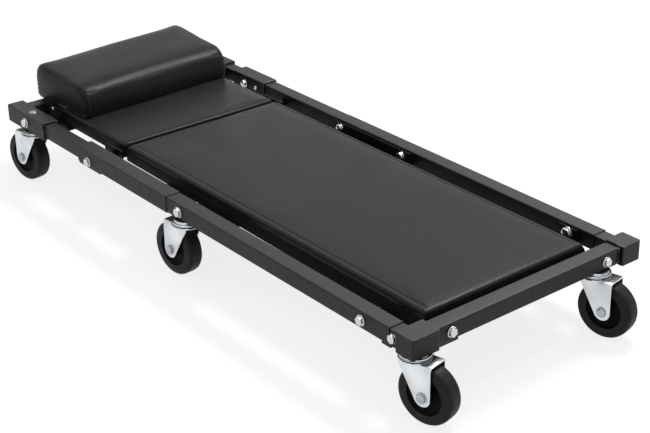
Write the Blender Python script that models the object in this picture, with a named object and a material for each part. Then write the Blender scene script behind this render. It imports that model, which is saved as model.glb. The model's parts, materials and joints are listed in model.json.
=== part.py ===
"""Mechanic creeper: bolted tube frame, padded board, tilting head section and six swivel casters.

Metres, +Z up, +X towards the foot end, -Y is the near side. The origin lies on the floor under the middle.
"""
import math

import bmesh
import bpy
from mathutils import Matrix, Vector

# Frame tubes
frame_length = 1.016
frame_width = 0.408
rail_size = 0.025
rail_wall = 0.0012
tube_edge_radius = 0.002
fit_gap = 0.0003
inner_tube_wall = 0.0015
sleeve_wall = 0.0022
corner_wall = 0.0035
far_mid_wall = 0.0008

# Lengths along the rails, from the head end
head_corner_length = 0.115
near_bare_length = 0.109
near_sleeve_length = 0.249
far_corner_length = 0.078
far_bare_length = 0.036
far_sleeve_length = 0.087
far_mid_length = 0.2025
head_solid_length = 0.038
inner_tube_overlap = 0.032
head_cross_setback = 0.0085

# Foot corners
foot_block_length = 0.033
near_block_width = 0.0455
far_block_width = 0.035
far_block_outset = 0.0067
near_stub_length = 0.014
far_stub_length = 0.022
foot_cross_setback = 0.0055
foot_cross_gap = 0.006
cross_spigot_length = 0.048
near_cross_bolt_inset = 0.024
far_cross_bolt_inset = 0.022
lip_width = 0.019
rail_lip_length = 0.017
cross_lip_length = 0.039
lip_drop = 0.0035

# Stations along the frame, from the head end, and the foot strap's from the foot end
head_station = 0.060
pivot_station = 0.255
centre_station = 0.506
foot_strap_station = 0.100
sleeve_bolt_inset = 0.034
sleeve_screw_spacing = 0.031

# Boards, straps and tray
board_thickness = 0.006
board_margin = 0.005
strap_sheet = 0.003
head_strap_width = 0.030
centre_plate_width = 0.186
centre_plate_offset = 0.017
centre_bolt_spacing = 0.150
centre_tab_width = 0.056
foot_strap_width = 0.034
strap_tab_rise = 0.009
tray_sheet = 0.0027
tray_width = 0.260
tray_cross_length = 0.034
tray_end_reach = 0.008
arm_sheet = 0.003
arm_length = 0.042
arm_taper = 0.008
arm_root_length = 0.030
arm_back_length = 0.014
arm_rise = 0.006
arm_hole_radius = 0.0028
arm_hole_inset = 0.010
arm_hole_drop = 0.0062
ear_length = 0.050
ear_rise = 0.013
ear_side_gap = 0.0075

# Pads and pillow
pad_thickness = 0.0179
pad_rail_gap = 0.0305
pad_corner_radius = 0.012
pad_foot_inset = 0.0048
pad_foot_rise = 0.0018
pad_draw = 0.003
pad_waist_rise = 0.009
pad_seam_drop = 0.0045
pad_seam_width = 0.001
pad_roll_inset = 0.0009
pad_roll_drop = 0.0025
pad_crown = 0.0012
pad_crown_inset = 0.015
pad_crown_drop = 0.0005
pad_flat_inset = 0.036
pad_side_pull = 0.0012
pad_break_station = 0.272
pad_break_gap = 0.004
head_pad_length = 0.191
foot_pad_gap = 0.0115
pillow_front_station = 0.144
pillow_depth = 0.156
pillow_length = 0.286
pillow_rear_height = 0.061
pillow_front_height = 0.052
pillow_rear_round = 0.020
pillow_front_round = 0.028
pillow_low_round = 0.008
pillow_end_swell = 0.009
pillow_cap_inset = 0.0162
pillow_waist_reach = 0.030
pillow_waist_pull = 0.0006
pillow_under_share = 0.4

# Casters
wheel_radius = 0.042
wheel_width = 0.0245
hub_radius = 0.009
dish_radius = 0.024
dish_depth = 0.0035
tread_flat = 0.016
tyre_shoulder = 0.004
tyre_edge_drop = 0.001
axle_radius = 0.004
axle_head_radius = 0.0062
axle_head_height = 0.002
caster_trail = 0.0215
fork_sheet = 0.0025
fork_side_gap = 0.002
fork_leg_radius = 0.0125
fork_back = 0.016
crown_radius = 0.023
crown_clearance = 0.002
race_gap = 0.0005
race_height = 0.005
race_rim_height = 0.0045
race_bulge_height = 0.002
race_radius = 0.0215
race_rim_inset = 0.0025
race_foot_inset = 0.00125
race_neck_radius = 0.0125
stem_radius = 0.005
stem_drop = 0.0055
kingpin_head_radius = 0.0085
kingpin_head_height = 0.002
near_foot_caster_inset = 0.0213
far_foot_caster_inset = 0.027
foot_caster_turn = math.radians(12.5)
mid_caster_turn = math.radians(184.8)
head_caster_turn = math.radians(188.3)

# Fasteners
bolt_radius = 0.0035
bolt_head_radius = 0.0062
bolt_head_height = 0.0048
bolt_crown_radius = 0.0046
bolt_crown_height = 0.0019
washer_radius = 0.0076
stub_washer_radius = 0.0066
washer_height = 0.0012
nut_height = 0.0045
bolt_grip = 0.012
screw_radius = 0.002
screw_head_radius = 0.0038
screw_head_height = 0.0025
screw_crown_radius = 0.0023
screw_crown_height = 0.0012
pivot_drop = 0.005
pivot_shoulder_radius = 0.0065
pivot_boss_length = 0.066
pivot_boss_drop = 0.0035

# Facets of round pieces
wheel_segments = 22
race_segments = 16
pin_segments = 10
fillet_steps = 3
cap_steps = 3
pad_side_steps = 6
smooth_angle = math.radians(35)

# Worked-out sizes
inner_tube_size = rail_size - 2 * (rail_wall + fit_gap)
socket_size = inner_tube_size + 2 * fit_gap
corner_size = socket_size + 2 * corner_wall
sleeve_size = socket_size + 2 * sleeve_wall
far_mid_size = socket_size + 2 * far_mid_wall

crown_under = 2 * wheel_radius + crown_clearance
crown_top = crown_under + fork_sheet
race_under = crown_top + race_gap
corner_under = race_under + race_height + fit_gap
rail_z = corner_under + corner_size / 2
rail_under = rail_z - rail_size / 2
stem_top = rail_z - stem_drop

strap_top = rail_under + strap_sheet
board_under = strap_top + fit_gap
board_top = board_under + board_thickness
pad_under = board_top + fit_gap
pad_top = pad_under + pad_thickness
pillow_under = pad_top + fit_gap

head_x = -frame_length / 2
foot_x = frame_length / 2
rail_y = frame_width / 2 - rail_size / 2
rail_face = rail_y - rail_size / 2
corner_face = rail_y - corner_size / 2

near_sleeve_x = head_x + head_corner_length + near_bare_length
near_rail_x = near_sleeve_x + near_sleeve_length
far_sleeve_x = head_x + far_corner_length + far_bare_length
far_mid_x = far_sleeve_x + far_sleeve_length
far_rail_x = far_mid_x + far_mid_length
foot_block_x = foot_x - foot_block_length
near_rail_end = foot_block_x - near_stub_length
far_rail_end = foot_block_x - far_stub_length
inner_tube_x = head_x + head_solid_length + fit_gap

head_bolt_x = head_x + head_station
pivot_x = head_x + pivot_station
pivot_z = rail_z - pivot_drop
centre_x = head_x + centre_station
centre_plate_x = centre_x - centre_plate_offset
foot_strap_x = foot_x - foot_strap_station
sleeve_bolt_x = far_sleeve_x + sleeve_bolt_inset
head_cross_x = head_x + head_cross_setback + rail_size / 2
foot_cross_x = foot_x - foot_cross_setback - rail_size / 2

near_block_out = -(rail_y + corner_size / 2)
near_block_in = near_block_out + near_block_width
far_block_out = rail_y + corner_size / 2 + far_block_outset
far_block_in = far_block_out - far_block_width
foot_cross_near = near_block_in + fit_gap
foot_cross_far = far_block_in - foot_cross_gap

pad_break_x = head_x + pad_break_station
main_pad_x = pad_break_x + pad_break_gap
main_pad_end = foot_cross_x - rail_size / 2 - foot_pad_gap
head_pad_x = pad_break_x - head_pad_length
pillow_front_x = head_x + pillow_front_station
pillow_rear_x = pillow_front_x - pillow_depth

pad_width = 2 * (rail_face - pad_rail_gap)
board_width = pad_width - 2 * board_margin
ear_y = pad_width / 2 + ear_side_gap
leg_inner = wheel_width / 2 + fork_side_gap
leg_outer = leg_inner + fork_sheet


def clear_scene():
    for old in list(bpy.data.objects):
        bpy.data.objects.remove(old, do_unlink=True)


def paint(name, colour, roughness, metallic):
    finish = bpy.data.materials.new(name)
    finish.use_nodes = True
    shader = finish.node_tree.nodes["Principled BSDF"]
    shader.inputs["Base Color"].default_value = (*colour, 1.0)
    shader.inputs["Roughness"].default_value = roughness
    shader.inputs["Metallic"].default_value = metallic
    return finish


def empty(name, location, parent=None, turn=0.0):
    marker = bpy.data.objects.new(name, None)
    marker.location = location
    marker.rotation_euler = (0.0, 0.0, turn)
    marker.parent = parent
    bpy.context.scene.collection.objects.link(marker)
    return marker


def add(name, shape, finish, parent, location=(0, 0, 0)):
    """One named piece from a bmesh, with its faces turned outwards."""
    bmesh.ops.recalc_face_normals(shape, faces=shape.faces)
    mesh = bpy.data.meshes.new(name)
    shape.to_mesh(mesh)
    shape.free()
    mesh.shade_smooth()
    mesh.set_sharp_from_angle(angle=smooth_angle)
    mesh.materials.append(finish)
    piece = bpy.data.objects.new(name, mesh)
    piece.location = location
    piece.parent = parent
    if parent is head_section:
        piece.matrix_parent_inverse = Matrix.Translation((-pivot_x, 0, -pivot_z))
    bpy.context.scene.collection.objects.link(piece)
    return piece


def tool(shape, parent):
    """A hidden shape that a Boolean reads."""
    helper = add("tool", shape, steel_black, parent)
    helper.hide_render = True
    helper.display_type = "WIRE"
    return helper


def cut(piece, helper):
    boolean = piece.modifiers.new("cut", "BOOLEAN")
    boolean.operation = "DIFFERENCE"
    boolean.object = helper


def fuse(piece, shape):
    boolean = piece.modifiers.new("fuse", "BOOLEAN")
    boolean.operation = "UNION"
    boolean.object = tool(shape, piece.parent)


def box(low, high):
    shape = bmesh.new()
    bmesh.ops.create_cube(shape, size=1.0)
    size = [b - a for a, b in zip(low, high)]
    middle = [(a + b) / 2 for a, b in zip(low, high)]
    bmesh.ops.scale(shape, vec=size, verts=shape.verts)
    bmesh.ops.translate(shape, vec=middle, verts=shape.verts)
    return shape


def round_corner(corner, before, after, radius, steps):
    """Points of the arc that rounds one corner of an outline."""
    corner = Vector(corner)
    to_before = (Vector(before) - corner).normalized()
    to_after = (Vector(after) - corner).normalized()
    half_angle = to_before.angle(to_after) / 2
    reach = radius / math.tan(half_angle)
    centre = corner + (to_before + to_after).normalized() * radius / math.sin(half_angle)
    first = corner + to_before * reach - centre
    last = corner + to_after * reach - centre
    sweep = first.angle_signed(last)
    return [centre + Matrix.Rotation(-sweep * i / steps, 2) @ first for i in range(steps + 1)]


def round_outline(corners, radii, steps=fillet_steps):
    outline = []
    for i, corner in enumerate(corners):
        before = corners[i - 1]
        after = corners[(i + 1) % len(corners)]
        if radii[i]:
            outline += round_corner(corner, before, after, radii[i], steps)
        else:
            outline.append(Vector(corner))
    return outline


def rounded_rectangle(low, high, radius, steps=fillet_steps):
    corners = [(low[0], low[1]), (high[0], low[1]), (high[0], high[1]), (low[0], high[1])]
    return round_outline(corners, [radius] * 4, steps)


def along(axis, first, second, distance):
    """A point from two outline coordinates and a distance along axis 0, 1 or 2."""
    point = [first, second]
    point.insert(axis, distance)
    return point


def prism(outline, axis, low, high):
    shape = bmesh.new()
    ends = []
    for distance in (low, high):
        ring = [shape.verts.new(along(axis, p[0], p[1], distance)) for p in outline]
        shape.faces.new(ring)
        ends.append(ring)
    count = len(outline)
    for i in range(count):
        j = (i + 1) % count
        shape.faces.new((ends[0][i], ends[0][j], ends[1][j], ends[1][i]))
    return shape


def square_tube(axis, low, high, middle, size, wall):
    """An open square tube along an axis; middle holds the two other coordinates."""
    shape = bmesh.new()
    rings = []
    for half, radius in ((size / 2, tube_edge_radius), (size / 2 - wall, tube_edge_radius / 2)):
        corner_low = [m - half for m in middle]
        corner_high = [m + half for m in middle]
        outline = rounded_rectangle(corner_low, corner_high, radius, 2)
        for distance in (low, high):
            rings.append([shape.verts.new(along(axis, p[0], p[1], distance)) for p in outline])
    outer_low, outer_high, inner_low, inner_high = rings
    round_trip = [outer_low, outer_high, inner_high, inner_low, outer_low]
    count = len(outer_low)
    for one, other in zip(round_trip, round_trip[1:]):
        for i in range(count):
            j = (i + 1) % count
            shape.faces.new((one[i], one[j], other[j], other[i]))
    return shape


def rail_tube(name, side, low, high, size, wall):
    return add(name, square_tube(0, low, high, (side * rail_y, rail_z), size, wall), steel_black, creeper)


def cross_tube(name, low, high, x):
    return add(name, square_tube(1, low, high, (x, rail_z), rail_size, rail_wall), steel_black, creeper)


def turned(profile, segments, closed=False):
    """A shape turned about Z from (radius, height) points; a solid starts and ends on the axis."""
    shape = bmesh.new()
    rings = []
    for radius, height in profile:
        if radius == 0:
            rings.append([shape.verts.new((0, 0, height))])
            continue
        ring = []
        for i in range(segments):
            angle = 2 * math.pi * i / segments
            ring.append(shape.verts.new((radius * math.cos(angle), radius * math.sin(angle), height)))
        rings.append(ring)
    pairs = list(zip(rings, rings[1:]))
    if closed:
        pairs.append((rings[-1], rings[0]))
    for one, other in pairs:
        for i in range(segments):
            j = (i + 1) % segments
            if len(one) == 1:
                shape.faces.new((one[0], other[i], other[j]))
            elif len(other) == 1:
                shape.faces.new((one[i], one[j], other[0]))
            else:
                shape.faces.new((one[i], one[j], other[j], other[i]))
    return shape


def aim(shape, origin, direction):
    """Turns a shape made about Z so that +Z runs along direction, and sets it at origin."""
    turn = Vector((0, 0, 1)).rotation_difference(Vector(direction)).to_matrix()
    bmesh.ops.rotate(shape, cent=(0, 0, 0), matrix=turn, verts=shape.verts)
    bmesh.ops.translate(shape, vec=origin, verts=shape.verts)
    return shape


def drill(pieces, origin, direction, radius, depth):
    """Cuts one round hole from origin along direction through the pieces."""
    shape = turned([(0, 0), (radius, 0), (radius, depth), (0, depth)], pin_segments)
    helper = tool(aim(shape, origin, direction), pieces[0].parent)
    for piece in pieces:
        cut(piece, helper)


def head_profile(washer):
    """Points of a bolt's domed head and its washer, from the axis to the shank, with the seat at height 0."""
    under = -fit_gap - washer_height
    top = under - bolt_head_height
    points = [(0, top), (bolt_crown_radius, top), (bolt_head_radius, top + bolt_crown_height)]
    points += [(bolt_head_radius, under), (washer, under), (washer, -fit_gap), (bolt_radius, -fit_gap)]
    return points


def bolt(name, seat, direction, grip, pieces, washer=washer_radius, nut=False):
    """A bolt whose head sits on seat and whose shank runs along direction through the pieces."""
    profile = head_profile(washer)
    tip = grip
    if nut:
        nut_seat = grip + fit_gap
        tip = nut_seat + nut_height
        profile += [(bolt_radius, nut_seat), (bolt_head_radius, nut_seat), (bolt_head_radius, tip)]
    else:
        profile.append((bolt_radius, tip))
    profile.append((0, tip))
    add(name, aim(turned(profile, pin_segments), seat, direction), zinc, creeper)
    start = Vector(seat) - Vector(direction) * washer_height
    drill(pieces, start, direction, bolt_radius + fit_gap, grip + washer_height + fit_gap)


def screw(name, seat, direction, grip, pieces):
    """A small domed screw."""
    top = -fit_gap - screw_head_height
    profile = [(0, top), (screw_crown_radius, top), (screw_head_radius, top + screw_crown_height)]
    profile += [(screw_head_radius, -fit_gap), (screw_radius, -fit_gap), (screw_radius, grip), (0, grip)]
    add(name, aim(turned(profile, pin_segments), seat, direction), zinc, creeper)
    start = Vector(seat) - Vector(direction) * washer_height
    drill(pieces, start, direction, screw_radius + fit_gap, grip + washer_height + fit_gap)


def head_corner(name, side, length):
    """A closed block at the head end with a socket for the inner tube and a spigot for the cross tube."""
    y = side * rail_y
    half = corner_size / 2
    outline = rounded_rectangle((y - half, rail_z - half), (y + half, rail_z + half), tube_edge_radius, 2)
    block = add(name, prism(outline, 0, head_x, head_x + length), steel_black, creeper)
    socket = socket_size / 2
    reach = head_x + length + corner_wall
    low = (head_x + head_solid_length, y - socket, rail_z - socket)
    cut(block, tool(box(low, (reach, y + socket, rail_z + socket)), creeper))
    spigot = inner_tube_size / 2
    tip = side * (corner_face - cross_spigot_length)
    root = side * (corner_face + corner_wall)
    low = (head_cross_x - spigot, min(tip, root), rail_z - spigot)
    fuse(block, box(low, (head_cross_x + spigot, max(tip, root), rail_z + spigot)))
    return block


def foot_corner(name, side, inner, outer):
    """A block at the foot end with a spigot for its rail and one for the cross tube."""
    low = (foot_block_x, min(inner, outer))
    high = (foot_x, max(inner, outer))
    outline = rounded_rectangle(low, high, tube_edge_radius, 2)
    block = add(name, prism(outline, 2, corner_under, corner_under + corner_size), steel_black, creeper)
    spigot = inner_tube_size / 2
    y = side * rail_y
    low = (foot_strap_x - bolt_grip, y - spigot, rail_z - spigot)
    fuse(block, box(low, (foot_block_x + corner_wall, y + spigot, rail_z + spigot)))
    tip = inner - side * cross_spigot_length
    root = inner + side * corner_wall
    low = (foot_cross_x - spigot, min(tip, root), rail_z - spigot)
    fuse(block, box(low, (foot_cross_x + spigot, max(tip, root), rail_z + spigot)))
    return block


def foot_lips(block):
    """Lips of the near block that run on under the rail's end and the cross tube's end."""
    low_z = corner_under + fit_gap
    high_z = rail_under - fit_gap
    half = lip_width / 2
    drop_z = low_z - lip_drop
    lip_x = near_rail_end - rail_lip_length
    lip_y = near_block_in + cross_lip_length
    fuse(block, box((lip_x, -rail_y - half, low_z), (foot_block_x + corner_wall, -rail_y + half, high_z)))
    fuse(block, box((lip_x, -rail_y - half, drop_z), (near_rail_end, -rail_y + half, high_z)))
    low = (foot_cross_x - half, near_block_in - corner_wall, low_z)
    fuse(block, box(low, (foot_cross_x + half, lip_y, high_z)))
    fuse(block, box((foot_cross_x - half, near_block_in, drop_z), (foot_cross_x + half, lip_y, high_z)))


def pivot_boss(sleeve):
    """The rounded drop under the near sleeve at the head pivot."""
    half = pivot_boss_length / 2
    low_z = rail_z - sleeve_size / 2 - pivot_boss_drop
    high_z = rail_z - sleeve_size / 2 + sleeve_wall / 2
    side = sleeve_size / 2 - tube_edge_radius
    corners = [(pivot_x - half, low_z), (pivot_x + half, low_z)]
    corners += [(pivot_x + half, high_z), (pivot_x - half, high_z)]
    outline = round_outline(corners, [pivot_boss_drop, pivot_boss_drop, 0, 0])
    fuse(sleeve, prism(outline, 1, -rail_y - side, -rail_y + side))


def strap(name, x, width, top, near_tab, far_tab, near_edge):
    """A strap with a tab turned up against each rail; a tab is (rail face, middle, width)."""
    far_edge = far_tab[0] - fit_gap - strap_sheet / 2
    low = (x - width / 2, near_edge, top - strap_sheet)
    band = add(name, box(low, (x + width / 2, far_edge, top)), steel_black, creeper)
    for inward, (face, middle, tab_width) in ((1, near_tab), (-1, far_tab)):
        outside = face + inward * fit_gap
        inside = outside + inward * strap_sheet
        low = (middle - tab_width / 2, min(outside, inside), top - strap_sheet + fit_gap)
        fuse(band, box(low, (middle + tab_width / 2, max(outside, inside), rail_z + strap_tab_rise)))
    return band


def head_tray():
    """The folded tray under the head board, with its pivot ears and the arms beside the pillow's ends."""
    low_z = strap_top - tray_sheet
    end_x = pivot_x + tray_end_reach
    cross_x = end_x - tray_cross_length
    edge = ear_y + arm_sheet / 2
    half = tray_width / 2
    root_x = head_pad_x + arm_root_length
    near_half = [(head_pad_x, -edge), (root_x, -edge), (root_x, -half)]
    near_half += [(cross_x, -half), (cross_x, -edge), (end_x, -edge)]
    outline = near_half + [(x, -y) for x, y in reversed(near_half)]
    tray = add("head_tray", prism(outline, 2, low_z, strap_top), steel_black, head_section)
    root_z = low_z + tray_sheet / 2
    arm_top = pillow_under + arm_rise
    back_x = head_pad_x + arm_back_length
    front_x = head_pad_x - arm_sheet
    tip_x = front_x - arm_length
    arm = [(root_x, root_z), (root_x, board_top), (back_x, board_top), (back_x, arm_top)]
    arm += [(tip_x, arm_top), (tip_x + arm_taper, board_under), (front_x, board_under), (head_pad_x, root_z)]
    ear_low = pivot_x - ear_length / 2
    for side in (-1, 1):
        sides = sorted((side * ear_y, side * (ear_y + arm_sheet)))
        low = (ear_low, sides[0], root_z)
        fuse(tray, box(low, (ear_low + ear_length, sides[1], pivot_z + ear_rise)))
        fuse(tray, prism(arm, 1, sides[0], sides[1]))
    out = ear_y + 2 * arm_sheet
    hole = (front_x - arm_hole_inset, -out, arm_top - arm_hole_drop)
    drill([tray], hole, (0, 1, 0), arm_hole_radius, 2 * out)
    drill([tray], (pivot_x, -out, pivot_z), (0, 1, 0), bolt_radius + fit_gap, 2 * out)
    return tray


def head_pivot(name, side, outer_size, pieces):
    """A shouldered pin from the rail's outer side into the tray's ear."""
    face = rail_y + outer_size / 2
    tip = face - ear_y + fit_gap
    ear_out = face - ear_y - arm_sheet
    profile = head_profile(washer_radius)
    profile += [(bolt_radius, outer_size + fit_gap), (pivot_shoulder_radius, outer_size + fit_gap)]
    profile += [(pivot_shoulder_radius, ear_out - fit_gap), (bolt_radius, ear_out - fit_gap)]
    profile += [(bolt_radius, tip), (0, tip)]
    seat = (pivot_x, side * face, pivot_z)
    add(name, aim(turned(profile, pin_segments), seat, (0, -side, 0)), zinc, creeper)
    start = (pivot_x, side * (face + washer_height), pivot_z)
    drill(pieces, start, (0, -side, 0), bolt_radius + fit_gap, outer_size + 2 * washer_height)


def pad_ring(low_x, high_x, inset):
    """A pad's outline drawn in by inset, with its sides pulled in between the corners."""
    half_x = (high_x - low_x) / 2 - inset
    half_y = pad_width / 2 - inset
    radius = max(pad_corner_radius - inset, pad_corner_radius / 4)
    corners = rounded_rectangle((-half_x, -half_y), (half_x, half_y), radius)
    ring = []
    for i, point in enumerate(corners):
        ring.append(point)
        if (i + 1) % (fillet_steps + 1) == 0:
            after = corners[(i + 1) % len(corners)]
            ring += [point.lerp(after, k / pad_side_steps) for k in range(1, pad_side_steps)]
    pulled = []
    for x, y in ring:
        pull_x = pad_side_pull * (1 - (y / half_y) ** 2) / half_x
        pull_y = pad_side_pull * (1 - (x / half_x) ** 2) / half_y
        pulled.append(((low_x + high_x) / 2 + x * (1 - pull_x), y * (1 - pull_y)))
    return pulled


def stacked(rings):
    """A closed shape through rings of equal counts of points, with its ends filled."""
    shape = bmesh.new()
    loops = [[shape.verts.new(point) for point in ring] for ring in rings]
    count = len(loops[0])
    for one, other in zip(loops, loops[1:]):
        for i in range(count):
            j = (i + 1) % count
            shape.faces.new((one[i], one[j], other[j], other[i]))
    shape.faces.new(loops[0])
    shape.faces.new(loops[-1])
    return shape


def pad(name, low_x, high_x, parent):
    """A crowned vinyl pad: flat below, sides drawn in under the seam, rounded over to the crown."""
    seam_z = pad_top - pad_seam_drop
    levels = [(pad_foot_inset, pad_under), (pad_draw, pad_under + pad_foot_rise)]
    levels += [(pad_draw, pad_under + pad_waist_rise), (0, seam_z - pad_seam_width), (0, seam_z)]
    levels += [(pad_roll_inset, pad_top - pad_roll_drop), (pad_draw, pad_top - pad_crown)]
    levels += [(pad_crown_inset, pad_top - pad_crown_drop), (pad_flat_inset, pad_top)]
    rings = [[(x, y, z) for x, y in pad_ring(low_x, high_x, inset)] for inset, z in levels]
    return add(name, stacked(rings), vinyl, parent)


def pillow_ring(y, inset):
    """The pillow's section at one place along its length, drawn in by inset."""
    low = pillow_under + inset * pillow_under_share
    rear = pillow_rear_x + inset
    front = pillow_front_x - inset
    front_top = pillow_under + pillow_front_height - inset
    rear_top = pillow_under + pillow_rear_height - inset
    corners = [(rear, low), (front, low), (front, front_top), (rear, rear_top)]
    radii = [pillow_low_round, pillow_low_round, pillow_front_round, pillow_rear_round]
    return [(x, y, z) for x, z in round_outline(corners, radii, fillet_steps + 1)]


def pillow():
    """The loaf-shaped pillow: full over its length, with softly swollen end caps."""
    half = pillow_length / 2
    end = [(half, pillow_cap_inset)]
    for i in range(cap_steps + 1):
        angle = math.pi / 2 * i / cap_steps
        rise = pillow_end_swell * (1 - math.cos(angle))
        end.append((half - rise, pillow_end_swell * (1 - math.sin(angle))))
    end.append((half - pillow_end_swell - pillow_waist_reach, pillow_waist_pull))
    stations = [(-y, inset) for y, inset in end] + [(0, 0)] + list(reversed(end))
    rings = [pillow_ring(y, inset) for y, inset in stations]
    return add("pillow", stacked(rings), vinyl, head_section)


def caster_fork(name, swivel):
    """The folded fork: a crown plate with a dished disc, and two legs that taper to the axle."""
    front = caster_trail + fork_leg_radius
    side = leg_outer - fit_gap
    low = (-fork_back + fit_gap, -side, crown_under)
    fork = add(name, box(low, (front - fit_gap, side, crown_top)), zinc, swivel)
    disc = [(0, crown_under + fit_gap), (crown_radius, crown_under + fit_gap)]
    disc += [(crown_radius, crown_top - fit_gap), (crown_radius - fork_sheet, crown_top + fit_gap)]
    disc += [(0, crown_top + fit_gap)]
    fuse(fork, turned(disc, race_segments))
    leg = [(front, crown_top - 2 * fit_gap), (-fork_back, crown_top - 2 * fit_gap)]
    leg.append((-fork_back, crown_under - fork_sheet))
    away = Vector((-fork_back - caster_trail, crown_under - fork_sheet - wheel_radius))
    lean = math.atan2(away.y, away.x) + math.acos(fork_leg_radius / away.length)
    steps = 2 * fillet_steps
    for i in range(steps + 1):
        angle = lean + (2 * math.pi - lean) * i / steps
        x = caster_trail + fork_leg_radius * math.cos(angle)
        leg.append((x, wheel_radius + fork_leg_radius * math.sin(angle)))
    for direction in (-1, 1):
        sides = sorted((direction * leg_inner, direction * leg_outer))
        fuse(fork, prism(leg, 1, sides[0], sides[1]))
    drill([fork], (0, 0, crown_under - fork_sheet), (0, 0, 1), stem_radius + fit_gap, 3 * fork_sheet)
    bore = (caster_trail, -leg_outer - fork_sheet, wheel_radius)
    drill([fork], bore, (0, 1, 0), axle_radius + fit_gap, 2 * (leg_outer + fork_sheet))


def caster_race(name, x, y, mount_under, pieces):
    """The ball-race ring with its stem up into the frame and the kingpin that holds the fork."""
    pin_under = crown_under - fit_gap - kingpin_head_height
    profile = [(0, pin_under), (kingpin_head_radius, pin_under), (kingpin_head_radius, crown_under - fit_gap)]
    profile += [(stem_radius, crown_under - fit_gap), (stem_radius, race_under)]
    ring_top = race_under + race_rim_height
    profile += [(race_radius - race_foot_inset, race_under), (race_radius, race_under + race_bulge_height)]
    profile += [(race_radius - race_rim_inset, ring_top), (race_neck_radius, ring_top)]
    profile += [(race_neck_radius, mount_under - fit_gap), (stem_radius, mount_under - fit_gap)]
    profile += [(stem_radius, stem_top), (0, stem_top)]
    add(name, aim(turned(profile, race_segments), (x, y, 0), (0, 0, 1)), zinc, creeper)
    depth = stem_top + fit_gap - mount_under + fork_sheet
    drill(pieces, (x, y, mount_under - fork_sheet), (0, 0, 1), stem_radius + fit_gap, depth)


def caster_axle(name, swivel):
    """The riveted axle across the fork."""
    reach = leg_outer + fit_gap
    tip = reach + axle_head_height
    profile = [(0, -tip), (axle_head_radius, -tip), (axle_head_radius, -reach), (axle_radius, -reach)]
    profile += [(axle_radius, reach), (axle_head_radius, reach), (axle_head_radius, tip), (0, tip)]
    shape = aim(turned(profile, pin_segments), (caster_trail, 0, wheel_radius), (0, 1, 0))
    add(name, shape, zinc, swivel)


def caster_wheel(name, swivel):
    """The moulded wheel: hub boss, recessed dish and a broad tyre with rounded shoulders."""
    side = wheel_width / 2
    hub_side = leg_inner - fit_gap
    dish_side = side - dish_depth
    shoulder = wheel_radius - tyre_shoulder
    half = [(axle_radius + fit_gap, hub_side), (hub_radius, hub_side), (hub_radius + fit_gap, dish_side)]
    half += [(dish_radius, dish_side), (dish_radius + dish_depth / 2, side - fit_gap), (shoulder, side)]
    half += [(wheel_radius - tyre_edge_drop, (side + tread_flat / 2) / 2), (wheel_radius, tread_flat / 2)]
    profile = half + [(radius, -y) for radius, y in reversed(half)]
    shape = aim(turned(profile, wheel_segments, closed=True), (0, 0, 0), (0, 1, 0))
    add(name, shape, rubber, swivel, location=(caster_trail, 0, wheel_radius))


def caster(place, x, y, turn, mount_under, pieces):
    caster_race(f"caster_race_{place}", x, y, mount_under, pieces)
    swivel = empty(f"swivel_{place}", (x, y, 0), creeper, turn)
    caster_fork(f"caster_fork_{place}", swivel)
    caster_axle(f"caster_axle_{place}", swivel)
    caster_wheel(f"caster_wheel_{place}", swivel)


def centre_origin():
    """Moves the whole creeper so that its wheels stand on the floor with the origin under the middle."""
    bpy.context.view_layer.update()
    graph = bpy.context.evaluated_depsgraph_get()
    points = []
    for piece in bpy.data.objects:
        if piece.type != "MESH" or piece.hide_render:
            continue
        solid = piece.evaluated_get(graph)
        points += [solid.matrix_world @ vertex.co for vertex in solid.data.vertices]
    middle_x = (min(p.x for p in points) + max(p.x for p in points)) / 2
    middle_y = (min(p.y for p in points) + max(p.y for p in points)) / 2
    creeper.location = (-middle_x, -middle_y, -min(p.z for p in points))
    bpy.context.view_layer.update()


clear_scene()
steel_black = paint("powder_black", (0.035, 0.035, 0.037), 0.5, 0.0)
zinc = paint("zinc_plate", (0.62, 0.65, 0.67), 0.32, 1.0)
vinyl = paint("black_vinyl", (0.022, 0.022, 0.023), 0.45, 0.0)
rubber = paint("wheel_black", (0.02, 0.02, 0.02), 0.6, 0.0)
plywood = paint("plywood", (0.42, 0.3, 0.18), 0.7, 0.0)

creeper = empty("creeper", (0, 0, 0))
head_section = empty("head_section", (pivot_x, 0, pivot_z), creeper)

# Frame
head_corner_near = head_corner("head_corner_near", -1, head_corner_length)
head_corner_far = head_corner("head_corner_far", 1, far_corner_length)
foot_corner_near = foot_corner("foot_corner_near", -1, near_block_in, near_block_out)
foot_lips(foot_corner_near)
foot_corner_far = foot_corner("foot_corner_far", 1, far_block_in, far_block_out)
cross_tube("head_cross_tube", -corner_face + fit_gap, corner_face - fit_gap, head_cross_x)
foot_cross = cross_tube("foot_cross_tube", foot_cross_near, foot_cross_far, foot_cross_x)
inner_end = centre_x + inner_tube_overlap
near_inner = rail_tube("near_inner_tube", -1, inner_tube_x, inner_end, inner_tube_size, inner_tube_wall)
far_inner = rail_tube("far_inner_tube", 1, inner_tube_x, inner_end, inner_tube_size, inner_tube_wall)
near_sleeve = rail_tube("near_rail_sleeve", -1, near_sleeve_x, near_rail_x, sleeve_size, sleeve_wall)
pivot_boss(near_sleeve)
near_rail = rail_tube("near_main_rail", -1, near_rail_x + fit_gap, near_rail_end, rail_size, rail_wall)
far_sleeve = rail_tube("far_rail_sleeve", 1, far_sleeve_x, far_mid_x, corner_size, corner_wall)
far_mid = rail_tube("far_mid_tube", 1, far_mid_x + fit_gap, far_rail_x, far_mid_size, far_mid_wall)
far_rail = rail_tube("far_main_rail", 1, far_rail_x + fit_gap, far_rail_end, rail_size, rail_wall)

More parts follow.
